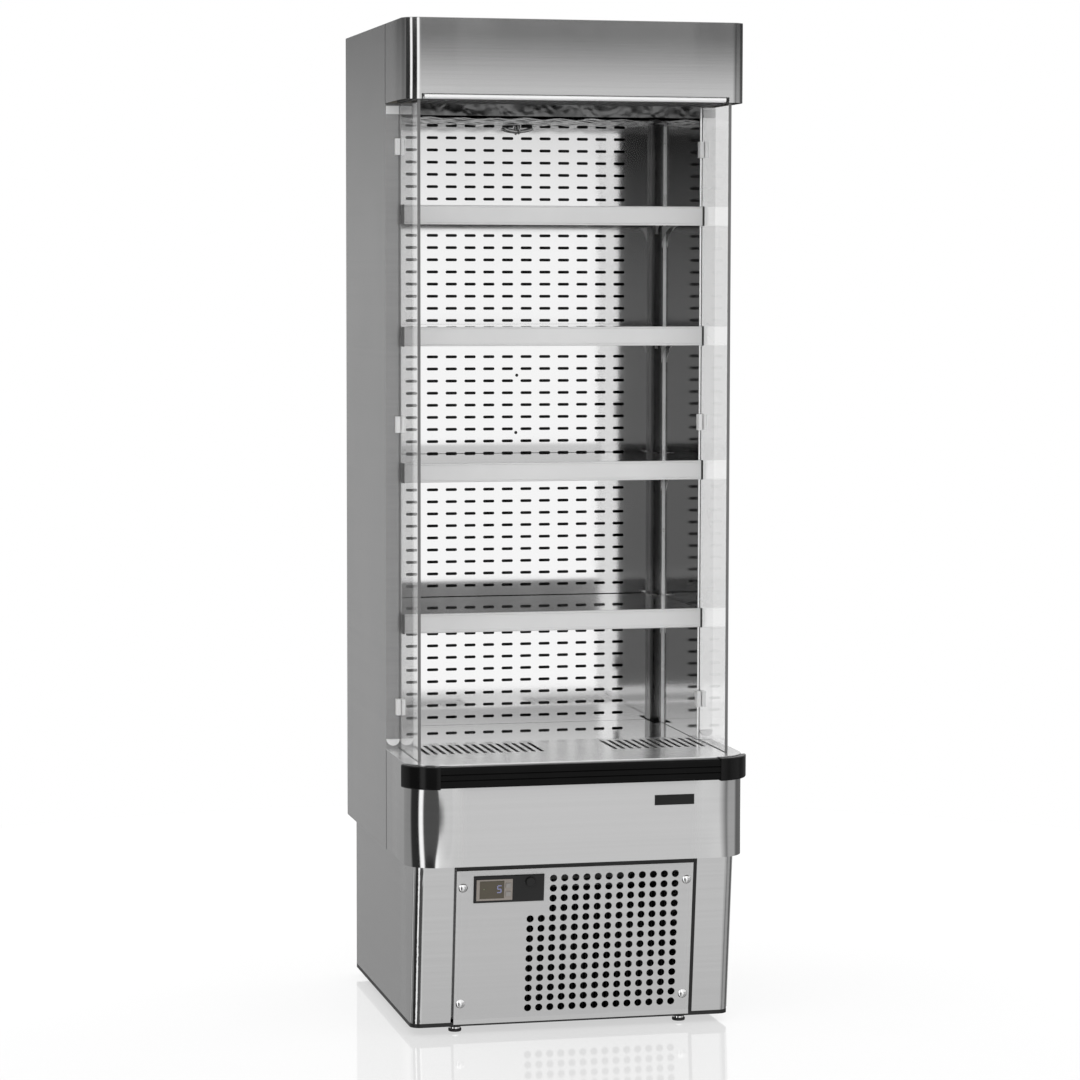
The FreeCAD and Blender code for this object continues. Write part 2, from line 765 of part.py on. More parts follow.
# ---------------------------------------------------------------- deck and lower front
def deck_tray():
    """Product deck over the evaporator, notched round the uprights."""
    x = inner - sheet
    y0, y1 = y_return_rear + fit, y_air_panel - 1.5
    y_notch = y_upright_front - 3
    x_notch = inner - upright_width - 3
    top, under = deck_height, deck_height - shelf_sheet
    plate = box(-x, x, y0, y_notch, under, top)
    tongue = box(-x_notch, x_notch, y0, y1, under, top)
    front = box(-x, x, y0, y0 + shelf_sheet, deck_height - deck_edge, top)
    side = box(x - shelf_sheet, x, y0, y_notch, deck_height - deck_edge, top)
    rear = box(-x_notch, x_notch, y1 - shelf_sheet, y1, deck_height - deck_edge, top)
    return fused(plate, tongue, front, side, mirrored(side), rear)


def air_return_grille():
    """Lift-out front grille, slotted each side of a plain stretch."""
    x = inner - sheet
    y0, y1 = y_ledge_rear + fit, y_return_rear - fit
    under = deck_height - shelf_sheet
    length = y1 - y0 - 2 * return_slot_margin
    centre_y = (y0 + y1) / 2
    holes = []
    for start, end in (return_slots_left, return_slots_right):
        for i in range(int((end - start - return_slot_width) // return_slot_pitch) + 1):
            centre = (start + return_slot_width / 2 + i * return_slot_pitch, centre_y, under)
            holes.append(slot(centre, (0, 1, 0), (1, 0, 0), length, return_slot_width))
    plate = holed_plate(flat_rectangle(-x, x, y0, y1, under), holes, (0, 0, shelf_sheet))
    edge = box(x - shelf_sheet, x, y0, y1, deck_height - deck_edge, under)
    front = box(-x, x, y0, y0 + shelf_sheet, deck_height - deck_edge, under)
    rear = box(-x, x, y1 - shelf_sheet, y1, deck_height - deck_edge, under)
    return fused(plate, edge, mirrored(edge), front, rear)


def front_ledge():
    """Bright top cap of the lower front, with a shoulder outside each pane."""
    cap = front_block(
        half, y_lower, y_wall_end, lower_corner_radius, deck_height - sheet, deck_height
    )
    well = box(-inner, inner, y_ledge_rear, y_wall_end + 5, deck_height - 5, deck_height + 5)
    return cap.cut(well)


def bumper_section(y_front, z0, z1):
    """Rubber bumper profile in the YZ plane at x 0: rounded, with two grooves."""
    y_back = y_lower
    height = z1 - z0
    r = 4.0
    points = [(0, y_back, z0), (0, y_front + r, z0), (0, y_front, z0 + r)]
    for share in (0.36, 0.64):
        zc = z0 + height * share
        points += [(0, y_front, zc - 1.5), (0, y_front + 1.5, zc), (0, y_front, zc + 1.5)]
    points += [(0, y_front, z1 - r), (0, y_front + r, z1), (0, y_back, z1)]
    return points


def bumper_rail():
    x = bumper_overall_width / 2 - bumper_cap_length
    z1 = deck_height - bumper_drop
    points = [(-x, y, z) for _, y, z in bumper_section(y_lower - bumper_thickness, z1 - bumper_height, z1)]
    return polygon(points, (2 * x, 0, 0))


def bumper_caps():
    """Moulded corners that wrap from the bumper round to the sides."""
    z1 = deck_height - bumper_drop + bumper_cap_proud
    z0 = z1 - bumper_height - 2 * bumper_cap_proud
    side = bumper_overall_width / 2
    proud = bumper_thickness + bumper_cap_proud
    y_far = y_lower + 2 * lower_corner_radius
    outer = front_block(side, y_lower - proud, y_far, lower_corner_radius + proud, z0, z1)
    rounded = [e for e in outer.Edges if e.BoundBox.ZLength < 1e-6 and e.CenterOfMass.y < y_far - 1]
    core = front_block(half, y_lower, y_far + 5, lower_corner_radius, z0 - 5, z1 + 5)
    ring = outer.makeFillet(3.0, rounded).cut(core)
    keep = box(
        side - bumper_cap_length, side + 5, y_lower - 2 * proud, y_lower + bumper_side_reach, z0 - 5,
        z1 + 5,
    )
    return pair(ring.common(keep))


def lower_front_panel():
    """Brushed cover below the bumper, with round corners and a turned-in foot."""
    top = deck_height - sheet
    skin = front_skin(half, y_lower, y_wall_end - seam, lower_corner_radius, body_bottom, top)
    foot = front_block(
        half - sheet / 2, y_lower + sheet / 2, y_wall_end - seam, lower_corner_radius - sheet / 2,
        body_bottom, body_bottom + sheet,
    )
    open_middle = box(
        -half, half, y_lower + 20 * sheet, y_wall_end, body_bottom - sheet, body_bottom + 2 * sheet
    )
    return fused(skin, foot.cut(open_middle))


# ---------------------------------------------------------------- base
def sloped_block(shrink, z0, z1):
    """Base block with its raked front, inset all round by shrink."""

    def outline(z):
        up = (z - skirt_bottom) / (body_bottom - skirt_bottom)
        y_front = y_plinth_foot + (y_plinth_top - y_plinth_foot) * up + shrink
        return front_outline(
            base_half - shrink, y_front, y_base_rear, base_corner_radius - shrink, z
        )

    return Part.makeLoft([outline(z0), outline(z1)], True, True)


def base_side():
    """Right-hand base skin: side sheet folded round into the front post."""
    ring = sloped_block(0, skirt_bottom, body_bottom).cut(
        sloped_block(sheet, skirt_bottom, body_bottom)
    )
    post = box(post_inner, base_half + 5, y_plinth_top - 5, y_base_rear, skirt_bottom, body_bottom)
    return fused(ring.common(post), on_plinth(post_channel()))


def post_channel():
    """Fold at the right-hand post's inner edge and the rail that takes the panel's screws."""
    y0, y1 = panel_flange + fit, panel_flange + fit + post_rail
    z0, z1 = 2.0, plinth_length - 2.0
    fold = box(post_inner, post_inner + sheet, sheet / 2, y1, z0, z1)
    rail = box(screw_x - 12, base_half - sheet / 2, y0, y1, z0, z1)
    holes = [rod(2.9, (screw_x, 0, z), (screw_x, 30, z)) for z in screw_rises()]
    return fused(fold, rail).cut(group(holes))


def base_rear_panel():
    """Rear sheet of the base with two banks of air slots."""
    x = base_half - sheet
    holes = []
    for bank in (-1, 1):
        for i in range(10):
            z = skirt_bottom + 60 + 20 * i
            holes.append(
                slot((bank * base_half / 2, y_base_rear, z), (1, 0, 0), (0, 0, 1), base_half * 0.62, 7.0)
            )
    outline = rectangle(-x, x, skirt_bottom, body_bottom, y_base_rear - sheet)
    holes = [h.translated(Vector(0, -sheet, 0)) for h in holes]
    return holed_plate(outline, holes, (0, sheet, 0))


def foot_places():
    for x in (-foot_x, foot_x):
        for y in (y_plinth_foot + foot_front_inset, y_base_rear - foot_rear_inset):
            yield x, y


def base_tray():
    """Dark pressed tray that carries the machinery, with four threaded foot bosses."""
    outline = front_outline(base_half, y_plinth_foot, y_base_rear, base_corner_radius, tray_bottom)
    solid = Part.Face(outline).extrude(Vector(0, 0, skirt_bottom - tray_bottom))
    inside = front_outline(
        base_half - tray_sheet, y_plinth_foot + tray_sheet, y_base_rear - tray_sheet,
        base_corner_radius - tray_sheet, tray_bottom + tray_sheet,
    )
    tray = solid.cut(Part.Face(inside).extrude(Vector(0, 0, skirt_bottom)))
    z_root = tray_bottom + tray_sheet / 2
    bosses, bores = [], []
    for x, y in foot_places():
        bosses.append(rod(foot_boss_radius, (x, y, z_root), (x, y, tray_bottom + foot_boss_height)))
        bores.append(
            rod(foot_stem_radius + running_fit, (x, y, 0), (x, y, tray_bottom + 2 * foot_boss_height))
        )
    return fused(tray, *bosses).cut(group(bores))


def levelling_foot(x, y):
    """Screw foot: a round pad on a threaded stem that runs in its boss."""
    pad = Part.makeCone(foot_radius, foot_radius * 0.85, foot_pad_height, Vector(x, y, 0))
    stem = rod(foot_stem_radius, (x, y, foot_pad_height / 2), (x, y, foot_pad_height + foot_stem_length))
    return fused(pad, stem)


def grille_panel():
    """Perforated access panel on the raked front, cut out for the controller."""
    z0, z1 = panel_bottom_gap, plinth_length - panel_top_gap
    holes = []
    for column in range(hole_columns):
        start = hole_short_start if column < hole_short_columns else 0
        for row in range(start, hole_rows):
            height = hole_top - row * hole_pitch_z
            centre = (hole_first_x + column * hole_pitch_x, 0, rise(height))
            holes.append(circle(centre, hole_radius))
    rim = bezel_rim
    holes.append(
        rectangle(bezel_x[0] + rim, bezel_x[1] - rim, bezel_z[0] + rim, bezel_z[1] - rim, 0)
    )
    for x, z in screw_places():
        holes.append(circle((x, 0, z), 3.0))
    plate = holed_plate(
        rectangle(-panel_half_width, panel_half_width, z0, z1, 0), holes, (0, panel_sheet, 0)
    )
    edge = box(
        panel_half_width - panel_sheet, panel_half_width, panel_sheet, panel_flange, z0, z1
    )
    return on_plinth(fused(plate, edge, mirrored(edge)))


def screw_rises():
    return [rise(height) for height in screw_levels]


def screw_places():
    return [(side * screw_x, z) for side in (-1, 1) for z in screw_rises()]


def panel_screws():
    """Four dome-headed screws with their shanks."""
    heads = []
    for x, z in screw_places():
        dome_radius = (screw_head_radius ** 2 + screw_head_height ** 2) / (2 * screw_head_height)
        ball = Part.makeSphere(dome_radius, Vector(x, dome_radius - screw_head_height, z))
        head = ball.common(box(x - 30, x + 30, -screw_head_height, 0, z - 30, z + 30))
        shank = rod(2.8, (x, -1, z), (x, 14, z))
        heads.append(on_plinth(fused(head, shank)))
    return group(heads)


# ---------------------------------------------------------------- controller
def controller_bezel():
    """Dark frame over the controller, open for the thermostat and the switch."""
    plate = box(bezel_x[0], bezel_x[1], -bezel_thickness, 0, bezel_z[0], bezel_z[1])
    edges = [e for e in plate.Edges if abs(e.CenterOfMass.y + bezel_thickness) < 1e-6]
    plate = plate.makeChamfer(1.2, edges)
    window = box(
        thermostat_x[0] - fit, thermostat_x[1] + fit, -10, 10, thermostat_z[0] - fit,
        thermostat_z[1] + fit,
    )
    well = rod(button_radius + key_fit, (button_x, -10, button_z), (button_x, 10, button_z))
    collar_x1 = bezel_x[1] - bezel_rim - fit
    tray = box(
        thermostat_x[1] + 2, collar_x1, 0, button_depth + 3, bezel_z[0] + bezel_rim + fit,
        bezel_z[1] - bezel_rim - fit,
    )
    pocket = rod(button_radius + key_fit, (button_x, -10, button_z), (button_x, button_depth, button_z))
    return on_plinth(fused(plate.cut(window).cut(well), tray.cut(pocket)))


def thermostat_body():
    """Thermostat case, with a recess for the display and wells for its two keys."""
    x0, x1 = thermostat_x
    z0, z1 = thermostat_z
    case = box(x0, x1, -bezel_thickness - thermostat_proud, thermostat_depth, z0, z1)
    recess = box(
        display_x[0] - fit, display_x[1] + fit, -10, -bezel_thickness - thermostat_proud
        + display_thickness, display_z[0] - fit, display_z[1] + fit,
    )
    wells = [key_block(z, key_fit, key_depth) for z in key_levels]
    return on_plinth(case.cut(recess.multiFuse(wells)))


def key_block(z, grow, depth):
    w, h = key_size
    face = -bezel_thickness - thermostat_proud
    return box(
        key_x - w / 2 - grow, key_x + w / 2 + grow, face - key_proud, face + depth, z - h / 2 - grow,
        z + h / 2 + grow,
    )


def thermostat_key(z):
    travel_room = 1.0
    return on_plinth(key_block(z, 0, key_depth - travel_room))


def thermostat_display():
    face = -bezel_thickness - thermostat_proud
    return on_plinth(
        box(display_x[0], display_x[1], face, face + display_thickness, display_z[0], display_z[1])
    )


def power_button():
    """Round push switch with a domed cap."""
    face = -bezel_thickness - button_proud
    travel_room = 3.0
    barrel = rod(button_radius, (button_x, face, button_z), (button_x, button_depth - travel_room, button_z))
    return on_plinth(barrel.makeFillet(2.0, [e for e in barrel.Edges if abs(e.CenterOfMass.y - face) < 1e-6]))


# ---------------------------------------------------------------- machinery
compressor_place = (-195.0, y_base_rear - 150.0)
y_condenser = y_plinth_foot + condenser_inset
z_floor = tray_bottom + tray_sheet
condenser_x = (-100.0, 200.0)
condenser_centre = (
    (condenser_x[0] + condenser_x[1]) / 2,
    y_condenser + condenser_size[1],
    z_floor + condenser_size[2] / 2 + 10,
)


def compressor():
    """Welded shell on a foot plate with four rubber mounts, and its terminal box."""
    x, y = compressor_place
    r = compressor_radius
    z0 = z_floor + 22
    body = rod(r, (x, y, z0 + 30), (x, y, z0 + compressor_height - 40))
    lower = Part.makeSphere(r, Vector(x, y, z0 + 30)).common(box(x - r, x + r, y - r, y + r, z0, z0 + 30))
    dome = Part.makeSphere(r, Vector(x, y, z0 + compressor_height - 40)).common(
        box(x - r, x + r, y - r, y + r, z0 + compressor_height - 40, z0 + compressor_height)
    )
    seam_ring = rod(r + 4, (x, y, z0 + 80), (x, y, z0 + 86))
    plate = box(x - r - 18, x + r + 18, y - 50, y + 50, z0, z0 + 3)
    shell = fused(body, lower, dome, seam_ring, plate)
    mounts = [
        rod(11, (x + sx * (r + 6), y + sy * 38, z_floor), (x + sx * (r + 6), y + sy * 38, z0))
        for sx in (-1, 1) for sy in (-1, 1)
    ]
    terminal = box(x - 26, x + 26, y - r - 30, y - r * 0.8, z0 + 40, z0 + 78).cut(shell)
    return group([shell, terminal] + mounts)


def condenser_coil():
    """Finned condenser behind the perforated panel, on two feet."""
    w, d, h = condenser_size
    x0, x1 = condenser_x
    z0 = z_floor + 10
    coil = finned_block(x0 + 8, x0 + w - 8, y_condenser, y_condenser + d, z0, z0 + h, condenser_fins)
    ends = [box(x, x + 2, y_condenser, y_condenser + d, z_floor, z0 + h) for x in (x0, x0 + w - 2)]
    links = [
        rod(4.5, (x0, y_condenser + d * 0.35, z0 + h * k), (x0 + w, y_condenser + d * 0.35, z0 + h * k))
        for k in (0.1, 0.3, 0.5, 0.7, 0.9)
    ]
    return fused(coil, *(ends + links))


def condenser_fan_shroud():
    """Sheet behind the condenser with the fan ring, and the motor on its three arms."""
    cx, cy, cz = condenser_centre
    w, d, h = condenser_size
    x0, x1 = condenser_x
    y0 = cy + fit
    y1 = y0 + fan_depth + 12
    plate = box(x0, x1, y0, y0 + 1.5, z_floor, z_floor + 10 + h)
    ring = rod(fan_radius + fan_gap + 2, (cx, y0, cz), (cx, y1, cz))
    opening = rod(fan_radius + fan_gap, (cx, y0 - 10, cz), (cx, y1 + 10, cz))
    shroud = fused(plate, ring).cut(opening)
    motor = rod(fan_hub_radius, (cx, y1 + 6, cz), (cx, y1 + 60, cz))
    shaft = rod(fan_shaft_radius, (cx, y0 + 10, cz), (cx, y1 + 20, cz))
    arms = []
    for i in range(3):
        arm = box(-5, 5, y1 - 2, y1 + 8, 0, fan_radius + fan_gap + 1.5)
        arm.rotate(Vector(0, 0, 0), Vector(0, 1, 0), 60 + 120 * i)
        arm.translate(Vector(cx, 0, cz))
        arms.append(arm)
    return fused(shroud, motor, shaft, *arms)


def condenser_fan():
    cx, cy, cz = condenser_centre
    centre = (cx, cy + fit + 6 + fan_depth / 2, cz)
    return fan_wheel(centre, fan_radius, fan_hub_radius, fan_depth, fan_shaft_radius + running_fit)


z_cold_fan = z_liner_floor + 88.0
y_cold_plate = y_header + cold_fan_plate_inset


def evaporator_coil():
    """Finned evaporator across the well, standing on its end plates."""
    w, d, h = evaporator_size
    y0 = y_header + evaporator_front
    z0 = z_liner_floor + 8
    coil = finned_block(-w / 2 + 10, w / 2 - 10, y0, y0 + d, z0, z0 + h, evaporator_fins)
    ends = [box(x, x + 2, y0, y0 + d, z_liner_floor + fit, z0 + h) for x in (-w / 2, w / 2 - 2)]
    links = [
        rod(4.5, (-w / 2, y0 + d * 0.4, z0 + h * k), (w / 2, y0 + d * 0.4, z0 + h * k))
        for k in (0.15, 0.38, 0.62, 0.85)
    ]
    return fused(coil, *(ends + links))


def evaporator_fan_plate():
    """Divider across the well, with the fan's opening."""
    x = inner - fit
    z1 = deck_height - deck_edge - sheet - 2 * fit
    plate = box(-x, x, y_cold_plate, y_cold_plate + 1.5, z_liner_floor + fit, z1)
    foot = box(-x, x, y_cold_plate, y_cold_plate + 20, z_liner_floor + fit, z_liner_floor + fit + 1.5)
    ring = rod(
        cold_fan_radius + fan_gap + 2, (0, y_cold_plate, z_cold_fan), (0, y_cold_plate + 14, z_cold_fan)
    )
    opening = rod(
        cold_fan_radius + fan_gap, (0, y_cold_plate - 5, z_cold_fan), (0, y_cold_plate + 30, z_cold_fan)
    )
    return fused(plate, foot, ring).cut(opening)


def evaporator_fan_motor():
    """Motor ahead of the fan on a three-armed spider."""
    y1 = y_cold_plate - 14
    motor = rod(22, (0, y1 - 34, z_cold_fan), (0, y1, z_cold_fan))
    shaft = rod(fan_shaft_radius, (0, y1 - 5, z_cold_fan), (0, y_cold_plate + 8, z_cold_fan))
    arms = []
    for i in range(3):
        arm = box(-4, 4, y1 - 8, y1 - 4, 0, cold_fan_radius + fan_gap + 8)
        leg = box(
            -4, 4, y1 - 8, y_cold_plate - fit, cold_fan_radius + fan_gap + 4, cold_fan_radius + fan_gap + 8
        )
        whole = arm.fuse(leg)
        whole.rotate(Vector(0, 0, 0), Vector(0, 1, 0), 30 + 120 * i)
        whole.translate(Vector(0, 0, z_cold_fan))
        arms.append(whole)
    return fused(motor, shaft, *arms)


def evaporator_fan():
    centre = (0, y_cold_plate + 3, z_cold_fan)
    return fan_wheel(centre, cold_fan_radius, 20, 20, fan_shaft_radius + running_fit)


def drip_tray():
    """Open pan that evaporates the drain water, behind the condenser fan."""
    w, d, h = drip_tray_size
    x0 = -20.0
    y0 = y_base_rear - 20 - d
    t = drip_tray_wall
    pan = box(x0, x0 + w, y0, y0 + d, z_floor, z_floor + h)
    return pan.cut(box(x0 + t, x0 + w - t, y0 + t, y0 + d - t, z_floor + t, z_floor + h + 5))


def pipework():
    """Suction and liquid pipes through the floor, and the drain down to the pan."""
    x, y = compressor_place
    z_shell = z_floor + 22 + 100
    z_coil = z_liner_floor + 60
    coil_x = -evaporator_size[0] / 2
    y_coil = y_header + evaporator_front + evaporator_size[1] * 0.4
    y_coil_rear = y_header + evaporator_front + evaporator_size[1]
    y_tube = y_condenser + condenser_size[1] * 0.35
    suction = pipe(
        [
            (x - compressor_radius, y, z_shell), (suction_x - 20, y, z_shell),
            (suction_x - 20, y, z_shell + 60), (suction_x, y_pipes, z_shell + 90),
            (suction_x, y_pipes, z_coil), (suction_x, y_coil, z_coil), (coil_x, y_coil, z_coil),
        ],
        pipe_radius, 14.0,
    )
    liquid = pipe(
        [
            (condenser_x[0], y_tube, z_floor + 64), (liquid_x, y_tube, z_floor + 64),
            (liquid_x, y_condenser + 90, z_floor + 230), (liquid_x, y_pipes, z_floor + 260),
            (liquid_x, y_pipes, z_coil - 30), (liquid_x, y_coil_rear, z_coil - 30),
        ],
        pipe_radius - 1, 14.0,
    )
    drain = rod(
        drain_radius, (0, y_drain, z_floor + drip_tray_size[2] * 0.6), (0, y_drain, z_liner_floor - sheet)
    )
    bore = rod(drain_radius - 2, (0, y_drain, 0), (0, y_drain, z_liner_floor + 10))
    return group([suction, liquid, drain.cut(bore)])


# ---------------------------------------------------------------- write every node
def nodes():
    made = {
        "side_skin_right": side_skin(),
        "side_skin_left": mirrored(side_skin()),
        "rear_skin": rear_skin(),
        "roof_skin": roof_skin(),
        "inner_liner": inner_liner(),
        "insulation": insulation(),
        "header_cover": header_cover(),
        "blind_cassette": blind_cassette(),
        "blind_roller": blind_roller(),
        "blind_cloth": blind_cloth(),
        "blind_pull_bar": blind_pull_bar(),
        "discharge_honeycomb": discharge_honeycomb(),
        "ceiling_panel": ceiling_panel(),
        "rear_air_panel": rear_air_panel(),
        "temperature_probe": temperature_probe(),
        "shelf_uprights": pair(upright()),
        "shelf_brackets": shelf_brackets(),
        "glass_right": glass_pane(),
        "glass_left": mirrored(glass_pane()),
        "glass_clips": glass_clips(),
        "deck_tray": deck_tray(),
        "air_return_grille": air_return_grille(),
        "front_ledge": front_ledge(),
        "bumper_rail": bumper_rail(),
        "bumper_caps": bumper_caps(),
        "lower_front_panel": lower_front_panel(),
        "base_side_right": base_side(),
        "base_side_left": mirrored(base_side()),
        "base_rear_panel": base_rear_panel(),
        "base_tray": base_tray(),
        "grille_panel": grille_panel(),
        "panel_screws": panel_screws(),
        "controller_bezel": controller_bezel(),
        "thermostat_body": thermostat_body(),
        "thermostat_display": thermostat_display(),
        "thermostat_key_up": thermostat_key(key_levels[0]),
        "thermostat_key_down": thermostat_key(key_levels[1]),
        "power_button": power_button(),
        "compressor": compressor(),
        "condenser_coil": condenser_coil(),
        "condenser_fan_shroud": condenser_fan_shroud(),
        "condenser_fan": condenser_fan(),
        "evaporator_coil": evaporator_coil(),
        "evaporator_fan_plate": evaporator_fan_plate(),
        "evaporator_fan_motor": evaporator_fan_motor(),
        "evaporator_fan": evaporator_fan(),
        "drip_tray": drip_tray(),
        "pipework": pipework(),
    }
    for number, height in enumerate(shelf_heights, start=1):
        made[f"shelf_tray_{number}"] = shelf_tray(height)
        made[f"price_rail_{number}"] = price_rail(height)
    for number, (x, y) in enumerate(foot_places(), start=1):
        made[f"levelling_foot_{number}"] = levelling_foot(x, y)
    return made


def main():
    os.makedirs("parts", exist_ok=True)
    for name, shape in nodes().items():
        shape.exportStep(f"parts/{name}.step")
        volume = sum(s.Volume for s in shape.Solids) / 1000.0
        print(f"{name}: {len(shape.Solids)} solid(s), {volume:.1f} cm3, valid {shape.isValid()}")


main()
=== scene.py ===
# %% [markdown]
# # Dressing an open multideck display fridge
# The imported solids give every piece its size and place. This script keeps them, gives each one a
# finish, and builds finer pieces where the real surface is bent, moulded or rounded more softly
# than the solid. All lengths are metres, +Z is up, and the open front faces -Y.

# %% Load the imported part
import bpy
import bmesh
import math
from mathutils import Matrix, Vector


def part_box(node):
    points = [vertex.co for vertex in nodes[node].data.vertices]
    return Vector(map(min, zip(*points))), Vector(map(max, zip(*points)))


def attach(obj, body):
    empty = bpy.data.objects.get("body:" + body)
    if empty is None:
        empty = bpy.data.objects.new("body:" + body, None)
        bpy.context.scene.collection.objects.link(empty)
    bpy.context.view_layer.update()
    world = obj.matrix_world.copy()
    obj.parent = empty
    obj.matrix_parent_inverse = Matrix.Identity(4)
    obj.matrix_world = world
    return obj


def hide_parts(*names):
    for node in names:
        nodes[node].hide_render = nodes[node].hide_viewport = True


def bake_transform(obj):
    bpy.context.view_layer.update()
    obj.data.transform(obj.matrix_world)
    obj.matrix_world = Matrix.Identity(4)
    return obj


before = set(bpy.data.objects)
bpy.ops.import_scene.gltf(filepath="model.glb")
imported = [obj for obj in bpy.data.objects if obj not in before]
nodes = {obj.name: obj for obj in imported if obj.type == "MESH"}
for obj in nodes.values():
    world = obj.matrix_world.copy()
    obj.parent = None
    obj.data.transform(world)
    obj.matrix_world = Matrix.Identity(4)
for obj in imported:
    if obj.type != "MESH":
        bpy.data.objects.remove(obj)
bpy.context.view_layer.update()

# %% [markdown]
# ## Camera
# The photograph was taken from the left, a little above the middle, with a long lens. The numbers
# come from fitting a pinhole camera to the cabinet's straight edges. Its axes are written out as
# the columns of a matrix, which is the surest way to repeat a fitted view.

# %% Place the camera
IMAGE_PIXELS = 1080
FOCAL_PIXELS = 3419.53259
SENSOR_MM = 36.0
EYE = Vector((-1.5780671, -6.7602200, 1.4967664))
YAW, PITCH, ROLL = 0.2288815056, 0.0785115212, 0.0018970215


def camera_axes(yaw, pitch, roll):
    """Right, up and backward axes of a camera turned right, tipped down and rolled."""
    level = math.cos(pitch)
    forward = Vector((math.sin(yaw) * level, math.cos(yaw) * level, -math.sin(pitch)))
    right = Vector((math.cos(yaw), -math.sin(yaw), 0))
    up = right.cross(forward)
    rolled_right = right * math.cos(roll) + up * math.sin(roll)
    rolled_up = up * math.cos(roll) - right * math.sin(roll)
    return rolled_right, rolled_up, -forward


camera = bpy.data.objects.new("camera", bpy.data.cameras.new("camera"))
bpy.context.scene.collection.objects.link(camera)
axes = Matrix(camera_axes(YAW, PITCH, ROLL)).transposed()
camera.matrix_world = Matrix.Translation(EYE) @ axes.to_4x4()
camera.data.sensor_width = SENSOR_MM
camera.data.lens = FOCAL_PIXELS / IMAGE_PIXELS * SENSOR_MM
camera.data.clip_end = 100
bpy.context.scene.camera = camera
print("lens", round(camera.data.lens, 1), "mm")

# %% [markdown]
# ## Studio
# Polished steel is nothing but what it reflects, so the studio matters more than the paint. The
# dark and bright stripes on the rounded corners tell where the softboxes stood. They are drawn on
# the world as a ramp round the horizon: each stop is a compass angle and a brightness. Further
# ramps change the walls, one softbox and the shade between the softboxes with height, and a white
# ceiling begins above them. What the lens sees past the cabinet, and the light on plain surfaces,
# is an even white.

# %% Studio world
ROUND = [  # degrees right of the view from the front, brightness
    (-180, 0.44), (-104, 0.40), (-95, 0.05), (-63, 0.03), (-58, 1.7), (-47, 1.7), (-41, 0.008),
    (-10, 0.008), (-6, 1.7), (6, 1.6), (9, 1.08), (26, 1.08), (40, 0.7), (52, 0.3), (60, 0.62),
    (88, 0.62), (100, 0.2), (160, 0.22), (180, 0.44),
]
WALLS = [(-180, 1), (-112, 1), (-95, 0), (6, 0), (9, 1), (180, 1)]
WALL_RISE = [  # sine of the angle above the horizon, share of light
    (-0.45, 0.62), (-0.43, 0.80), (-0.39, 0.88), (-0.19, 0.86), (-0.145, 1.0), (-0.05, 0.98),
    (0.0085, 0.98), (0.030, 0.86), (0.049, 0.66), (0.077, 0.26), (0.098, 0.11), (0.115, 0.10),
]
SOFTBOX = [(-180, 0), (-12, 0), (-8, 1), (6, 1), (9, 0), (180, 0)]
SOFTBOX_RISE = [(-0.12, 0.6), (0.0, 1.0)]
SHADE = [(-180, 0), (-44, 0), (-40, 1), (-11, 1), (-8, 0), (180, 0)]
SHADE_RISE = [
    (-0.16, 0.12), (-0.02, 0.12), (0.005, 0.10), (0.02, 0.04), (0.035, 0.01), (0.05, 0.0),
]
OVERHEAD_RISE = [(0.118, 0.0), (0.145, 1.0)]  # the white ceiling of the studio
RISE_LOW, RISE_SPAN = -0.5, 1.0
BRIGHTEST = 2.0


def link(tree, start, end):
    tree.links.new(start, end)


def add(tree, kind, **values):
    """A node of that kind, with its plain settings and its sockets' values set by name."""
    node = tree.nodes.new(kind)
    for key, value in values.items():
        if hasattr(node, key):
            setattr(node, key, value)
        else:
            node.inputs[key].default_value = value
    return node


def maths(tree, operation, *terms, clamp=False):
    """Math node on sockets or plain numbers; gives back its output."""
    node = tree.nodes.new("ShaderNodeMath")
    node.operation, node.use_clamp = operation, clamp
    for socket, term in zip(node.inputs, terms):
        if isinstance(term, (int, float)):
            socket.default_value = term
        else:
            link(tree, term, socket)
    return node.outputs[0]


def ramp(tree, factor, stops):
    """Grey ColorRamp through (position, value) stops."""
    node = tree.nodes.new("ShaderNodeValToRGB")
    link(tree, factor, node.inputs[0])
    band = node.color_ramp
    for index, (place, value) in enumerate(stops):
        stop = band.elements[index] if index < 2 else band.elements.new(place)
        stop.position = place
        stop.color = (value, value, value, 1)
    return node.outputs[0]


world = bpy.data.worlds.new("studio")
bpy.context.scene.world = world
world.use_nodes = True
sky = world.node_tree
sky.nodes.clear()
direction = add(sky, "ShaderNodeTexCoord").outputs["Generated"]
parts = add(sky, "ShaderNodeSeparateXYZ")
link(sky, direction, parts.inputs[0])
east, north, height = parts.outputs
bearing = maths(sky, "ARCTAN2", east, maths(sky, "MULTIPLY", north, -1.0))
turn = maths(sky, "ADD", maths(sky, "DIVIDE", bearing, 2 * math.pi), 0.5)
raised = maths(sky, "DIVIDE", maths(sky, "SUBTRACT", height, RISE_LOW), RISE_SPAN, clamp=True)


def round_ramp(stops):
    return ramp(sky, turn, [(angle / 360 + 0.5, value) for angle, value in stops])


def height_ramp(stops):
    return ramp(sky, raised, [((sine - RISE_LOW) / RISE_SPAN, value) for sine, value in stops])


def dimmed(light, where, rise):
    """The light, changed with height only where the round ramp says so."""
    lost = maths(sky, "SUBTRACT", 1.0, height_ramp(rise))
    loss = maths(sky, "MULTIPLY", round_ramp(where), lost)
    return maths(sky, "MULTIPLY", light, maths(sky, "SUBTRACT", 1.0, loss))


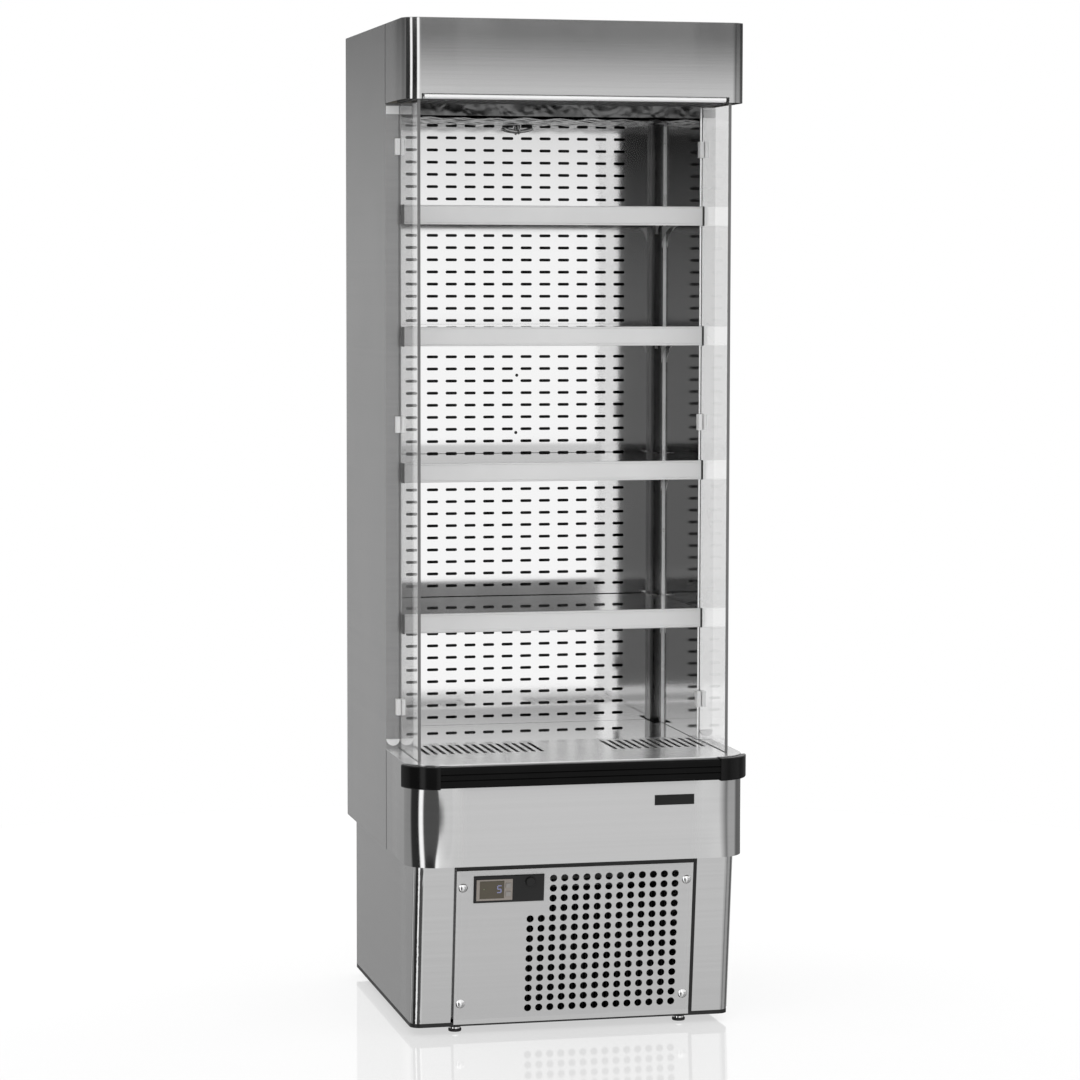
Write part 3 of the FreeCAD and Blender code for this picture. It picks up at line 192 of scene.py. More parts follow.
round_light = round_ramp([(angle, value / BRIGHTEST) for angle, value in ROUND])
studio_light = maths(sky, "MULTIPLY", round_light, BRIGHTEST)
studio_light = dimmed(studio_light, WALLS, WALL_RISE)
studio_light = dimmed(studio_light, SOFTBOX, SOFTBOX_RISE)
shade = maths(sky, "MULTIPLY", round_ramp(SHADE), height_ramp(SHADE_RISE))
studio_light = maths(sky, "MAXIMUM", studio_light, shade)
studio_light = maths(sky, "MAXIMUM", studio_light, height_ramp(OVERHEAD_RISE))
path = add(sky, "ShaderNodeLightPath")
plain = maths(
    sky, "MAXIMUM", path.outputs["Is Camera Ray"],
    maths(sky, "MAXIMUM", path.outputs["Is Transmission Ray"], path.outputs["Is Diffuse Ray"]),
)
mix = add(sky, "ShaderNodeMix", data_type="FLOAT")
link(sky, plain, mix.inputs["Factor"])
link(sky, studio_light, mix.inputs["A"])
mix.inputs["B"].default_value = 1.0
background = add(sky, "ShaderNodeBackground", Strength=1.0)
link(sky, mix.outputs[0], background.inputs["Color"])
link(sky, background.outputs[0], add(sky, "ShaderNodeOutputWorld").inputs[0])
print("studio of", len(ROUND), "stops")

# %% [markdown]
# ## Shared surface effects
# Three effects come back on many finishes, so each is a node group: fine brushing lines, the soft
# clouding that hands and cloths leave, and the fine grain of moulded plastic. A group puts out
# only masks and heights; every material decides for itself what to do with them.

# %% Node groups
def group(name, inputs, outputs):
    """Empty shader group with named float or vector inputs and float outputs."""
    tree = bpy.data.node_groups.new(name, "ShaderNodeTree")
    for label, kind, value in inputs:
        socket = tree.interface.new_socket(name=label, in_out="INPUT", socket_type=kind)
        socket.default_value = value
    for label in outputs:
        tree.interface.new_socket(name=label, in_out="OUTPUT", socket_type="NodeSocketFloat")
    return tree, tree.nodes.new("NodeGroupInput"), tree.nodes.new("NodeGroupOutput")


def brushing_group():
    """Long thin scratches: noise squeezed across the brushing direction."""
    tree, source, result = group(
        "brushing_lines",
        [("Vector", "NodeSocketVector", (0, 0, 0)), ("Stretch", "NodeSocketVector", (4, 4, 900))],
        ["Height", "Tone"],
    )
    stretched = add(tree, "ShaderNodeVectorMath", operation="MULTIPLY")
    link(tree, source.outputs["Vector"], stretched.inputs[0])
    link(tree, source.outputs["Stretch"], stretched.inputs[1])
    fine = add(tree, "ShaderNodeTexNoise", Scale=1.0, Detail=2.0, Roughness=0.6)
    link(tree, stretched.outputs[0], fine.inputs["Vector"])
    link(tree, fine.outputs[0], result.inputs["Height"])
    coarse = add(tree, "ShaderNodeTexNoise", Scale=0.16, Detail=3.0, Roughness=0.6)
    link(tree, stretched.outputs[0], coarse.inputs["Vector"])
    link(tree, coarse.outputs[0], result.inputs["Tone"])
    return tree


def clouding_group():
    """Soft irregular patches, as wiping and fingers leave on metal."""
    tree, source, result = group(
        "handling_clouds",
        [("Vector", "NodeSocketVector", (0, 0, 0)), ("Size", "NodeSocketFloat", 5.0)], ["Mask"],
    )
    broad = add(tree, "ShaderNodeTexNoise", Detail=4.0, Roughness=0.55, Distortion=0.4)
    link(tree, source.outputs["Vector"], broad.inputs["Vector"])
    link(tree, source.outputs["Size"], broad.inputs["Scale"])
    link(tree, ramp(tree, broad.outputs[0], [(0.3, 0.0), (0.72, 1.0)]), result.inputs["Mask"])
    return tree


def grain_group():
    """Pebbled grain of a moulding, with a slow change of tone."""
    tree, source, result = group(
        "moulded_grain",
        [("Vector", "NodeSocketVector", (0, 0, 0)), ("Scale", "NodeSocketFloat", 1400.0)],
        ["Height", "Tone"],
    )
    pebbles = add(tree, "ShaderNodeTexVoronoi", feature="SMOOTH_F1")
    link(tree, source.outputs["Vector"], pebbles.inputs["Vector"])
    link(tree, source.outputs["Scale"], pebbles.inputs["Scale"])
    link(tree, pebbles.outputs["Distance"], result.inputs["Height"])
    slow = add(tree, "ShaderNodeTexNoise", Scale=14.0, Detail=3.0)
    link(tree, source.outputs["Vector"], slow.inputs["Vector"])
    link(tree, slow.outputs[0], result.inputs["Tone"])
    return tree


BRUSHING, CLOUDS, GRAIN = brushing_group(), clouding_group(), grain_group()
print("groups", [g.name for g in bpy.data.node_groups])

# %% [markdown]
# ## Finishes
# Every finish is a Principled shader. The steels differ in how far they were ground: the outer panels
# are brushed level, the inner ones are left bright from the mill and act as dull mirrors. The very
# dark tones of the duct steel and of the ceiling's rippled steel are painted shade.
# Brushing is a very fine bump that changes only across the lines, so that reflections smear across
# them while the upright stripes on the round corners stay crisp, as they do on the real sheet.

# %% Steel and other metals
finish = {}


def start_material(name):
    """New node material, kept by name; gives back its tree, shader and object coordinates."""
    material = finish[name] = bpy.data.materials.new(name)
    material.use_nodes = True
    tree = material.node_tree
    shader = tree.nodes["Principled BSDF"]
    coordinates = tree.nodes.new("ShaderNodeTexCoord").outputs["Object"]
    return tree, shader, coordinates


def place_group(tree, shared, **inputs):
    """A shared group placed in a material, with its values or incoming sockets."""
    node = tree.nodes.new("ShaderNodeGroup")
    node.node_tree = shared
    for key, value in inputs.items():
        if isinstance(value, bpy.types.NodeSocket):
            link(tree, value, node.inputs[key])
        else:
            node.inputs[key].default_value = value
    return node


def colour_between(tree, factor, dark, light):
    mixer = add(tree, "ShaderNodeMix", data_type="RGBA")
    link(tree, factor, mixer.inputs["Factor"])
    mixer.inputs["A"].default_value = (*dark, 1)
    mixer.inputs["B"].default_value = (*light, 1)
    return mixer.outputs["Result"]


def two_tones(tree, factor, tone, spread):
    return colour_between(tree, factor, grey(tone - spread), grey(tone + spread))


def bump(tree, heights, strength, distance):
    node = add(tree, "ShaderNodeBump", Strength=strength, Distance=distance)
    link(tree, heights, node.inputs["Height"])
    return node.outputs[0]


def rough_range(tree, factor, low, high):
    return maths(tree, "ADD", maths(tree, "MULTIPLY", factor, high - low), low)


def grey(value):
    return (value, value, value)


def duller(tree, mask, tint, metal, lines, tone, metallic, spread):
    """Mixes in the same sheet with another tone and more plain grey, where the mask is 1."""
    plain_tint = two_tones(tree, lines.outputs["Tone"], tone, spread)
    both = add(tree, "ShaderNodeMix", data_type="RGBA")
    link(tree, mask, both.inputs["Factor"])
    link(tree, tint, both.inputs["A"])
    link(tree, plain_tint, both.inputs["B"])
    kept = maths(tree, "MULTIPLY", maths(tree, "SUBTRACT", 1.0, mask), metal)
    metal = maths(tree, "ADD", kept, maths(tree, "MULTIPLY", mask, metallic))
    return both.outputs["Result"], metal


def steel(
    name, tone, roughness, stretch, bump_mm, cloud_size=5.0, spread=0.03, metallic=1.0, flat=None
):
    """Bare sheet, ground along the directions in which stretch is small.

    Flat gives a tone and a metallic share for the middle of the front. The sheet then also turns
    duller behind the front corners, so that only the rounded corners mirror the studio fully.
    """
    tree, shader, here = start_material(name)
    lines = place_group(tree, BRUSHING, Vector=here, Stretch=stretch)
    clouds = place_group(tree, CLOUDS, Vector=here, Size=cloud_size)
    tint = two_tones(tree, lines.outputs["Tone"], tone, spread)
    shader.inputs["Metallic"].default_value = metallic
    if flat:
        spot = add(tree, "ShaderNodeSeparateXYZ")
        link(tree, here, spot.inputs[0])
        depth = maths(tree, "SUBTRACT", spot.outputs["Y"], DULL_FROM)
        behind = maths(tree, "DIVIDE", depth, DULL_SPAN, clamp=True)
        inward = maths(tree, "SUBTRACT", FLAT_HALF, maths(tree, "ABSOLUTE", spot.outputs["X"]))
        inner = maths(tree, "DIVIDE", inward, FLAT_FADE, clamp=True)
        inner = maths(tree, "MULTIPLY", inner, maths(tree, "SUBTRACT", 1.0, behind))
        tint, metal = duller(tree, behind, tint, metallic, lines, DULL_TONE, DULL_METALLIC, spread)
        tint, metal = duller(tree, inner, tint, metal, lines, *flat, spread)
        link(tree, metal, shader.inputs["Metallic"])
    link(tree, tint, shader.inputs["Base Color"])
    dull = rough_range(tree, clouds.outputs["Mask"], roughness * 0.85, roughness * 1.15)
    link(tree, dull, shader.inputs["Roughness"])
    link(tree, bump(tree, lines.outputs["Height"], 1.0, bump_mm / 1000), shader.inputs["Normal"])


UPRIGHT_LEVEL, FLAT_LEVEL, ALONG_X = (3, 3, 700), (3, 700, 3), (3, 700, 700)
ALL_WAYS, SPANGLE = (60, 60, 60), (40, 40, 40)
DULL_FROM, DULL_SPAN, DULL_TONE, DULL_METALLIC = -0.23, 0.08, 0.31, 0.5
FLAT_HALF, FLAT_FADE = 0.248, 0.02
steel("front_steel", 0.54, 0.10, UPRIGHT_LEVEL, 0.012, flat=(0.53, 0.92))
steel("panel_steel", 0.54, 0.10, UPRIGHT_LEVEL, 0.012, flat=(0.52, 0.6))
steel("side_steel", DULL_TONE, 0.18, UPRIGHT_LEVEL, 0.012, metallic=DULL_METALLIC)
steel("base_steel", 0.53, 0.10, UPRIGHT_LEVEL, 0.014, flat=(0.50, 0.6))
steel("ledge_steel", 0.90, 0.22, FLAT_LEVEL, 0.008, 5.0, 0.02, 0.8)
steel("mirror_steel", 0.86, 0.08, UPRIGHT_LEVEL, 0.002, 8.0, 0.01)
steel("satin_steel", 0.30, 0.20, UPRIGHT_LEVEL, 0.006, 8.0, 0.02)
steel("shelf_steel", 0.91, 0.035, ALONG_X, 0.0006, 8.0, 0.01)
steel("end_steel", 0.95, 0.26, UPRIGHT_LEVEL, 0.004, 8.0, 0.01)
# Painted shade: the liner's near-black tone stands for the unlit inside of the air duct.
steel("duct_steel_painted_shade", 0.10, 0.40, UPRIGHT_LEVEL, 0.006, 8.0, 0.02)
steel("bracket_steel", 0.60, 0.30, UPRIGHT_LEVEL, 0.004, 8.0, 0.02, 0.5)
steel("bright_steel", 0.82, 0.16, ALL_WAYS, 0.002, 30.0, 0.02)
steel("galvanised", 0.58, 0.38, SPANGLE, 0.05, 30.0, 0.08, 0.5)
steel("aluminium", 0.80, 0.24, ALONG_X, 0.01, 10.0, 0.03)
steel("bar_aluminium", 0.95, 0.30, ALONG_X, 0.004, 10.0, 0.02, 0.4)
steel("copper", 0.5, 0.25, ALL_WAYS, 0.02, 30.0)  # its two greys are then turned to copper
copper_shader = finish["copper"].node_tree.nodes["Principled BSDF"]
copper_tint = copper_shader.inputs["Base Color"].links[0].from_node
copper_tint.inputs["A"].default_value = (0.55, 0.22, 0.12, 1)
copper_tint.inputs["B"].default_value = (0.86, 0.46, 0.30, 1)


def rippled_steel_painted_shade():
    """Polished sheet under the ceiling, not quite flat, so that reflections swim. Its very dark greys
    are painted shade for the dim top of the cabinet.
    """
    tree, shader, here = start_material("rippled_steel_painted_shade")
    waves = add(tree, "ShaderNodeTexNoise", Scale=24.0, Detail=2.0, Distortion=0.3)
    link(tree, here, waves.inputs["Vector"])
    clouds = place_group(tree, CLOUDS, Vector=here, Size=9.0)
    # The very dark greys are painted shade; the clouds between the two are handling marks.
    tint = colour_between(tree, clouds.outputs["Mask"], grey(0.09), grey(0.16))
    link(tree, tint, shader.inputs["Base Color"])
    shader.inputs["Metallic"].default_value = 1.0
    link(tree, rough_range(tree, clouds.outputs["Mask"], 0.16, 0.24), shader.inputs["Roughness"])
    link(tree, bump(tree, waves.outputs[0], 1.0, 0.004), shader.inputs["Normal"])


rippled_steel_painted_shade()
print("metals", sorted(finish))

# %% [markdown]
# Plastics and rubber are plain colours with a moulded grain and a slow change of tone, which keeps
# a large black or grey part from looking like a hole in the picture. The same recipe gives powder
# coat and foam with other values.

# %% Plastics, rubber, paint and foam
def moulded(name, dark, light, roughness, grain_mm=0.02, grain_scale=1400.0, specular=0.5):
    tree, shader, here = start_material(name)
    grain = place_group(tree, GRAIN, Vector=here, Scale=grain_scale)
    clouds = place_group(tree, CLOUDS, Vector=here, Size=12.0)
    link(tree, colour_between(tree, grain.outputs["Tone"], dark, light), shader.inputs["Base Color"])
    dull = rough_range(tree, clouds.outputs["Mask"], roughness * 0.85, roughness * 1.15)
    link(tree, dull, shader.inputs["Roughness"])
    shader.inputs["Specular IOR Level"].default_value = specular
    link(tree, bump(tree, grain.outputs["Height"], 1.0, grain_mm / 1000), shader.inputs["Normal"])


moulded("black_rubber", grey(0.003), grey(0.006), 0.24, 0.004, 1400.0, 0.06)
moulded("cap_rubber", grey(0.003), grey(0.006), 0.16, 0.002, 1400.0, 0.16)
moulded("black_plastic", grey(0.008), grey(0.014), 0.36, 0.01, 1400.0, 0.3)
moulded("dark_plastic", grey(0.02), grey(0.04), 0.4)
moulded("grey_plastic", (0.25, 0.235, 0.22), (0.29, 0.275, 0.26), 0.45)
moulded("pale_plastic", grey(0.82), grey(0.90), 0.4)
moulded("honeycomb", grey(0.05), grey(0.09), 0.5)
moulded("thermostat_case", (0.24, 0.21, 0.19), (0.30, 0.27, 0.24), 0.4)
moulded("dark_paint", grey(0.008), grey(0.02), 0.42, 0.03, 700.0, 0.3)
# Painted shade: the condenser coil is bare aluminium, drawn near black so that the grille holes in
# front of it look dark.
moulded("coil_painted_shade", grey(0.010), grey(0.02), 0.5, 0.03, 700.0, 0.2)
moulded("foam", (0.20, 0.19, 0.16), (0.28, 0.265, 0.225), 0.8, 0.3, 300.0, 0.2)
moulded("foot_rubber", grey(0.01), grey(0.02), 0.6)
moulded("badge_black", grey(0.006), grey(0.012), 0.3, 0.006, 1400.0, 0.2)


RAIL_END = 0.3021


def rail_plastic():
    """Silver price rail, with nearly black caps past each end of the extrusion."""
    tree, shader, here = start_material("rail_plastic")
    grain = place_group(tree, GRAIN, Vector=here, Scale=900.0)
    face = colour_between(tree, grain.outputs["Tone"], grey(0.66), grey(0.72))
    across = add(tree, "ShaderNodeSeparateXYZ")
    link(tree, here, across.inputs[0])
    past_end = maths(tree, "GREATER_THAN", maths(tree, "ABSOLUTE", across.outputs["X"]), RAIL_END)
    mixer = add(tree, "ShaderNodeMix", data_type="RGBA")
    link(tree, past_end, mixer.inputs["Factor"])
    link(tree, face, mixer.inputs["A"])
    mixer.inputs["B"].default_value = (*grey(0.02), 1)
    link(tree, mixer.outputs["Result"], shader.inputs["Base Color"])
    clouds = place_group(tree, CLOUDS, Vector=here, Size=12.0)
    link(tree, rough_range(tree, clouds.outputs["Mask"], 0.34, 0.42), shader.inputs["Roughness"])
    link(tree, bump(tree, grain.outputs["Height"], 1.0, 0.00001), shader.inputs["Normal"])


rail_plastic()
print("finishes", len(finish))

# %% [markdown]
# Clear glass needs real thickness and a shader that bends light. Its ground edges look much
# darker, because light that enters there is caught inside the pane, so they get their own finish.
# The display is a smoked lens with figures that glow behind it.

# %% Glass, lens, glow and cloth
def clear_glass():
    tree, shader, here = start_material("clear_glass")
    clouds = place_group(tree, CLOUDS, Vector=here, Size=3.0)
    tint = colour_between(tree, clouds.outputs["Mask"], grey(0.96), grey(0.985))
    link(tree, tint, shader.inputs["Base Color"])
    link(tree, rough_range(tree, clouds.outputs["Mask"], 0.0, 0.012), shader.inputs["Roughness"])
    shader.inputs["Transmission Weight"].default_value = 1.0
    shader.inputs["IOR"].default_value = 1.30


def smoked_lens():
    tree, shader, here = start_material("smoked_lens")
    grain = place_group(tree, GRAIN, Vector=here, Scale=60.0)
    olive = colour_between(tree, grain.outputs["Tone"], (0.052, 0.044, 0.028), (0.080, 0.066, 0.042))
    link(tree, olive, shader.inputs["Base Color"])
    clouds = place_group(tree, CLOUDS, Vector=here, Size=40.0)
    link(tree, rough_range(tree, clouds.outputs["Mask"], 0.10, 0.18), shader.inputs["Roughness"])


def glow(name, colour, strength):
    """Plain light of a figure or lamp behind the lens."""
    tree, shader, here = start_material(name)
    clouds = place_group(tree, CLOUDS, Vector=here, Size=200.0)
    dim = tuple(c * 0.75 for c in colour)
    light = colour_between(tree, clouds.outputs["Mask"], dim, colour)
    link(tree, light, shader.inputs["Emission Color"])
    shader.inputs["Base Color"].default_value = (*grey(0.02), 1)
    shader.inputs["Emission Strength"].default_value = strength
    shader.inputs["Roughness"].default_value = 0.4


def blind_fabric():
    """Woven, aluminised cloth: fine crossed threads."""
    tree, shader, here = start_material("blind_fabric")
    threads = add(tree, "ShaderNodeTexWave", wave_type="BANDS", bands_direction="X", Scale=260.0)
    link(tree, here, threads.inputs["Vector"])
    picks = add(tree, "ShaderNodeTexWave", wave_type="BANDS", bands_direction="Z", Scale=260.0)
    link(tree, here, picks.inputs["Vector"])
    weave = maths(tree, "MULTIPLY", threads.outputs["Fac"], picks.outputs["Fac"])
    link(tree, colour_between(tree, weave, grey(0.40), grey(0.62)), shader.inputs["Base Color"])
    shader.inputs["Roughness"].default_value = 0.55
    link(tree, bump(tree, weave, 0.6, 0.0002), shader.inputs["Normal"])


clear_glass()
moulded("glass_edge", grey(0.13), grey(0.18), 0.3, 0.002, 1400.0, 0.3)
smoked_lens()
glow("figure_glow", (0.23, 0.24, 0.42), 0.9)
glow("lamp_glow", (0.12, 0.17, 0.07), 0.9)
blind_fabric()
print("finishes", len(finish))

# %% [markdown]
# ## Dress the solids
# Most solids keep their own shape and only take a finish. The table pairs each node with the finish
# that its real counterpart has, except the inner liner, the condenser coil and the ceiling panel,
# whose dark tones are painted shade.

# %% Finish every node
NODE_FINISH = {
    "front_steel": "header_cover",
    "panel_steel": "lower_front_panel",
    "side_steel": "side_skin_left side_skin_right roof_skin",
    "base_steel": "base_side_left base_side_right grille_panel",
    "mirror_steel": "rear_air_panel",
    "duct_steel_painted_shade": "inner_liner",
    "satin_steel": "shelf_uprights",
    "bracket_steel": "shelf_brackets temperature_probe",
    "rippled_steel_painted_shade": "ceiling_panel",
    "ledge_steel": "air_return_grille front_ledge",
    "shelf_steel": "shelf_tray_1 shelf_tray_2 shelf_tray_3 shelf_tray_4 deck_tray",
    "bright_steel": "panel_screws levelling_foot_1 levelling_foot_2 levelling_foot_3 levelling_foot_4",
    "galvanised": "rear_skin base_rear_panel evaporator_fan_plate",
    "aluminium": "blind_cassette evaporator_coil",
    "bar_aluminium": "blind_pull_bar",
    "copper": "pipework",
    "black_rubber": "bumper_rail",
    "cap_rubber": "bumper_caps",
    "black_plastic": "controller_bezel power_button condenser_fan evaporator_fan drip_tray",
    "grey_plastic": "thermostat_key_up thermostat_key_down",
    "pale_plastic": "glass_clips",
    "honeycomb": "discharge_honeycomb",
    "thermostat_case": "thermostat_body",
    "dark_paint": "base_tray compressor condenser_fan_shroud evaporator_fan_motor",
    "coil_painted_shade": "condenser_coil",
    "foam": "insulation",
    "rail_plastic": "price_rail_1 price_rail_2 price_rail_3 price_rail_4",
    "clear_glass": "glass_left glass_right",
    "smoked_lens": "thermostat_display",
    "blind_fabric": "blind_cloth blind_roller",
}


def dress(node_name, material):
    """Puts one material in every slot of a node's mesh."""
    materials = nodes[node_name].data.materials
    for index in range(max(1, len(materials))):
        if index < len(materials):
            materials[index] = material
        else:
            materials.append(material)


for finish_name, names in NODE_FINISH.items():
    for node_name in names.split():
        dress(node_name, finish[finish_name])
undressed = set(nodes) - set(" ".join(NODE_FINISH.values()).split())
print("nodes without a finish:", sorted(undressed))

# %% [markdown]
# ## Making a piece
# A new piece is drawn in a bmesh, then becomes an object that rides on a body, names the slot its
# finish belongs to, and may stand in for a node. Its place is in its mesh, so the object itself
# stays at the origin. Edges sharper than the smoothing angle, and the free edges of a sheet, are
# marked sharp, so that shading never bleeds round them.

# %% Helpers for new pieces
SMOOTH_ANGLE = math.radians(32)


def piece(name, bm, finishes, body="root", stands_for=(), smooth=True, tidy=True):
    """Finishes a bmesh as a piece of the cabinet."""
    if tidy:
        bmesh.ops.recalc_face_normals(bm, faces=bm.faces)
    for face in bm.faces:
        face.smooth = smooth
    for edge in bm.edges:
        if len(edge.link_faces) != 2 or edge.calc_face_angle(0) > SMOOTH_ANGLE:
            edge.smooth = False
    mesh = bpy.data.meshes.new(name)
    bm.to_mesh(mesh)
    bm.free()
    for finish_name in finishes.split():
        mesh.materials.append(finish[finish_name])
    made = bpy.data.objects.new(name, mesh)
    bpy.context.scene.collection.objects.link(made)
    if body:
        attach(made, body)
    if stands_for:
        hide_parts(*stands_for)
    return made


def block(bm, low, high):
    """Box between two corners, as one new cube of the bmesh."""
    low, high = Vector(low), Vector(high)
    made = bmesh.ops.create_cube(bm, size=1.0)["verts"]
    bmesh.ops.scale(bm, vec=high - low, verts=made)
    bmesh.ops.translate(bm, vec=(low + high) / 2, verts=made)
    return made


def soften(bm, width, segments=3, edges=None):
    """Rounds edges of the bmesh."""
    bmesh.ops.bevel(
        bm, geom=list(edges if edges is not None else bm.edges), offset=width, segments=segments,
        profile=0.5, affect="EDGES", material=-1, clamp_overlap=True,
    )


def smooth_step(value):
    value = min(1.0, max(0.0, value))
    return value * value * (3 - 2 * value)


print("piece helpers ready")

# %% [markdown]
# ## Bent covers
# The header and the lower front are single sheets bent round two upright corners. One vertex is
# drawn along the plan of the sheet, spun through each corner, and the line is then pulled up in
# rows, which gives evenly spaced faces through the bend. A Solidify modifier adds the sheet's
# thickness inwards, and a Weighted Normal modifier keeps the wide flat faces flat in shading.

# %% Sheet bent round two corners
def is_rung(edge, raised):
    """True for the short edges that join a raised row to the row below it."""
    fresh = {g for g in raised if isinstance(g, bmesh.types.BMVert)}
    return not all(v in fresh for v in edge.verts)


def bent_wall(half, y_front, y_back, radius, heights, stops=(), steps=14):
    """Open wall in plan: left side, corner, front, corner, right side, raised through heights."""
    bm = bmesh.new()
    tip = bm.verts.new((-half, y_back, heights[0]))

    def onward(x, y):
        nonlocal tip
        made = bmesh.ops.extrude_vert_indiv(bm, verts=[tip])["verts"][0]
        made.co = (x, y, heights[0])
        tip = made

    def corner(x, y):
        nonlocal tip
        turned = bmesh.ops.spin(
            bm, geom=[tip], cent=(x, y, heights[0]), axis=(0, 0, 1), angle=math.pi / 2, steps=steps,
            use_merge=False, use_normal_flip=False, use_duplicate=False,
        )
        tip = [g for g in turned["geom_last"] if isinstance(g, bmesh.types.BMVert)][0]

    onward(-half, y_front + radius)
    corner(-half + radius, y_front + radius)
    for x in stops:
        onward(x, y_front)
    onward(half - radius, y_front)
    corner(half - radius, y_front + radius)
    onward(half, y_back)
    row = list(bm.edges)
    for low, high in zip(heights, heights[1:]):
        raised = bmesh.ops.extrude_edge_only(bm, edges=row)["geom"]
        row = [g for g in raised if isinstance(g, bmesh.types.BMEdge) and not is_rung(g, raised)]
        row = [e for e in row if all(abs(v.co.z - low) < 1e-6 for v in e.verts)]
        verts = {v for e in row for v in e.verts}
        bmesh.ops.translate(bm, vec=(0, 0, high - low), verts=list(verts))
    return bm


def even_rows(low, high, count):
    return [low + (high - low) * i / count for i in range(count + 1)]


def thicken(made, thickness):
    """Gives a bent wall its sheet thickness, inwards, and even shading."""
    sheet = made.modifiers.new("sheet", "SOLIDIFY")
    sheet.thickness = thickness
    sheet.offset = -1.0
    weigh(made)
    return made


def weigh(made):
    """Normals follow the large faces, so that flat parts shade flat."""
    shading = made.modifiers.new("shading", "WEIGHTED_NORMAL")
    shading.keep_sharp = True


SHEET = 0.001
HEADER_RADIUS, LOWER_RADIUS = 0.030, 0.060
header_low, header_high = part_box("header_cover")
bar_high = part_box("blind_pull_bar")[1]
NOTCH_HALF = bar_high.x + 0.006
NOTCH_TOP = bar_high.z - 0.0006
HEADER_BOW, HEADER_ROWS = 0.0008, 12
LOWER_ROWS, LOWER_STEPS = 14, 22
header_rows = [header_low.z] + even_rows(NOTCH_TOP, header_high.z, HEADER_ROWS)
bm = bent_wall(
    header_high.x, header_low.y, header_high.y, HEADER_RADIUS, header_rows, (-NOTCH_HALF, NOTCH_HALF)
)
doomed = [
    f for f in bm.faces
    if max(v.co.z for v in f.verts) < NOTCH_TOP + 1e-5
    and abs(f.calc_center_median().x) < NOTCH_HALF and f.calc_center_median().y < header_low.y + 0.001
]
bmesh.ops.delete(bm, geom=doomed, context="FACES")
middle = (header_low.z + header_high.z) / 2
reach = (header_high.z - header_low.z) / 2
for vertex in bm.verts:
    part = (vertex.co.z - middle) / reach
    ahead = max(0.0, 1 - (vertex.co.y - header_low.y) / HEADER_RADIUS)
    vertex.co.y -= HEADER_BOW * (1 - part * part) * ahead
header = piece("header_shell", bm, "front_steel", stands_for=("header_cover",))
thicken(header, SHEET)
print("header rows", len(header_rows), "faces", len(header.data.polygons))

# %% [markdown]
# The lower front was pressed, and its sheet draws in a little beside each corner: the reflections
# there form a dark oval. A smooth dish, deepest at half height, gives that. The foam behind it is
# a copy of its solid, merged and pushed back under the dish.

# %% Lower front panel and the foam behind it
DISH_DEPTH, DISH_START, DISH_REACH, DISH_RIGHT = 0.0068, 0.250, 0.056, 0.4
DISH_STOPS = (0.250, 0.257, 0.264, 0.272)
panel_low, panel_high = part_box("lower_front_panel")
lower_rows = even_rows(panel_low.z, panel_high.z, LOWER_ROWS)
stops = [-x for x in reversed(DISH_STOPS)] + list(DISH_STOPS)
bm = bent_wall(
    panel_high.x, panel_low.y, panel_high.y, LOWER_RADIUS, lower_rows, stops, LOWER_STEPS
)
middle = (panel_low.z + panel_high.z) / 2
reach = (panel_high.z - panel_low.z) / 2
for vertex in bm.verts:
    part = (vertex.co.z - middle) / reach
    ahead = max(0.0, 1 - (vertex.co.y - panel_low.y) / LOWER_RADIUS)
    beside = smooth_step((abs(vertex.co.x) - DISH_START) / DISH_REACH)
    share = DISH_RIGHT if vertex.co.x > 0 else 1.0
    vertex.co.y += DISH_DEPTH * share * (1 - part * part) * beside * ahead
lower_front = piece(
    "lower_front_shell", bm, "panel_steel", stands_for=("lower_front_panel",)
)
thicken(lower_front, SHEET)

FOAM_CORNER, FOAM_REACH, FOAM_BACK = -0.279, 0.059, 0.047
bm = bmesh.new()
bm.from_mesh(nodes["insulation"].data)
bmesh.ops.remove_doubles(bm, verts=bm.verts, dist=1e-6)
pushed = [v for v in bm.verts if v.co.y < FOAM_CORNER]
for vertex in pushed:
    vertex.co.y = FOAM_CORNER + (vertex.co.y - FOAM_CORNER) * FOAM_BACK / FOAM_REACH
piece("insulation_foam", bm, "foam", stands_for=("insulation",), smooth=False)
print("lower front faces", len(lower_front.data.polygons), "foam vertices pushed back", len(pushed))

# %% [markdown]
# ## Glass side panes
# Each pane is a thick sheet of clear glass with ground edges. The box takes a small bevel, and the
# faces that aren't its two broad sides get the darker edge finish.

# %% Glass panes
GLASS_BEVEL = 0.0006
for side in ("left", "right"):
    low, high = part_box("glass_" + side)
    bm = bmesh.new()
    block(bm, low, high)
    soften(bm, GLASS_BEVEL, 1)
    bm.normal_update()
    for face in bm.faces:
        face.material_index = 0 if abs(face.normal.x) > 0.9 else 1
    piece("glass_pane_" + side, bm, "clear_glass glass_edge",
          stands_for=("glass_" + side,), smooth=False)
print("panes", [round(c, 4) for c in high - low])

# %% [markdown]
# ## Seams, seal and badge plate
# A dark gasket fills the narrow seam between the side skins and the two bent covers, and a soft
# seal closes the joint above the grille panel. The small plate on the lower front is left blank.

# %% Gaskets and blank plate
SEAM_X, SEAM_HALF, SEAM_OVERLAP = 0.3397, 0.0005, 0.0007
skin_low, skin_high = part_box("side_skin_left")
seam_front, seam_back = header_high.y - SEAM_OVERLAP, skin_low.y + SEAM_OVERLAP
bm = bmesh.new()
for x in (-SEAM_X, SEAM_X):
    for z_low, z_high in ((panel_low.z, panel_high.z), (header_low.z, header_high.z)):
        block(bm, (x - SEAM_HALF, seam_front, z_low), (x + SEAM_HALF, seam_back, z_high))
piece("side_gaskets", bm, "black_plastic", smooth=False)

PLINTH_Y, PLINTH_Z, PLINTH_LEAN = -0.270, 0.024, 0.1156


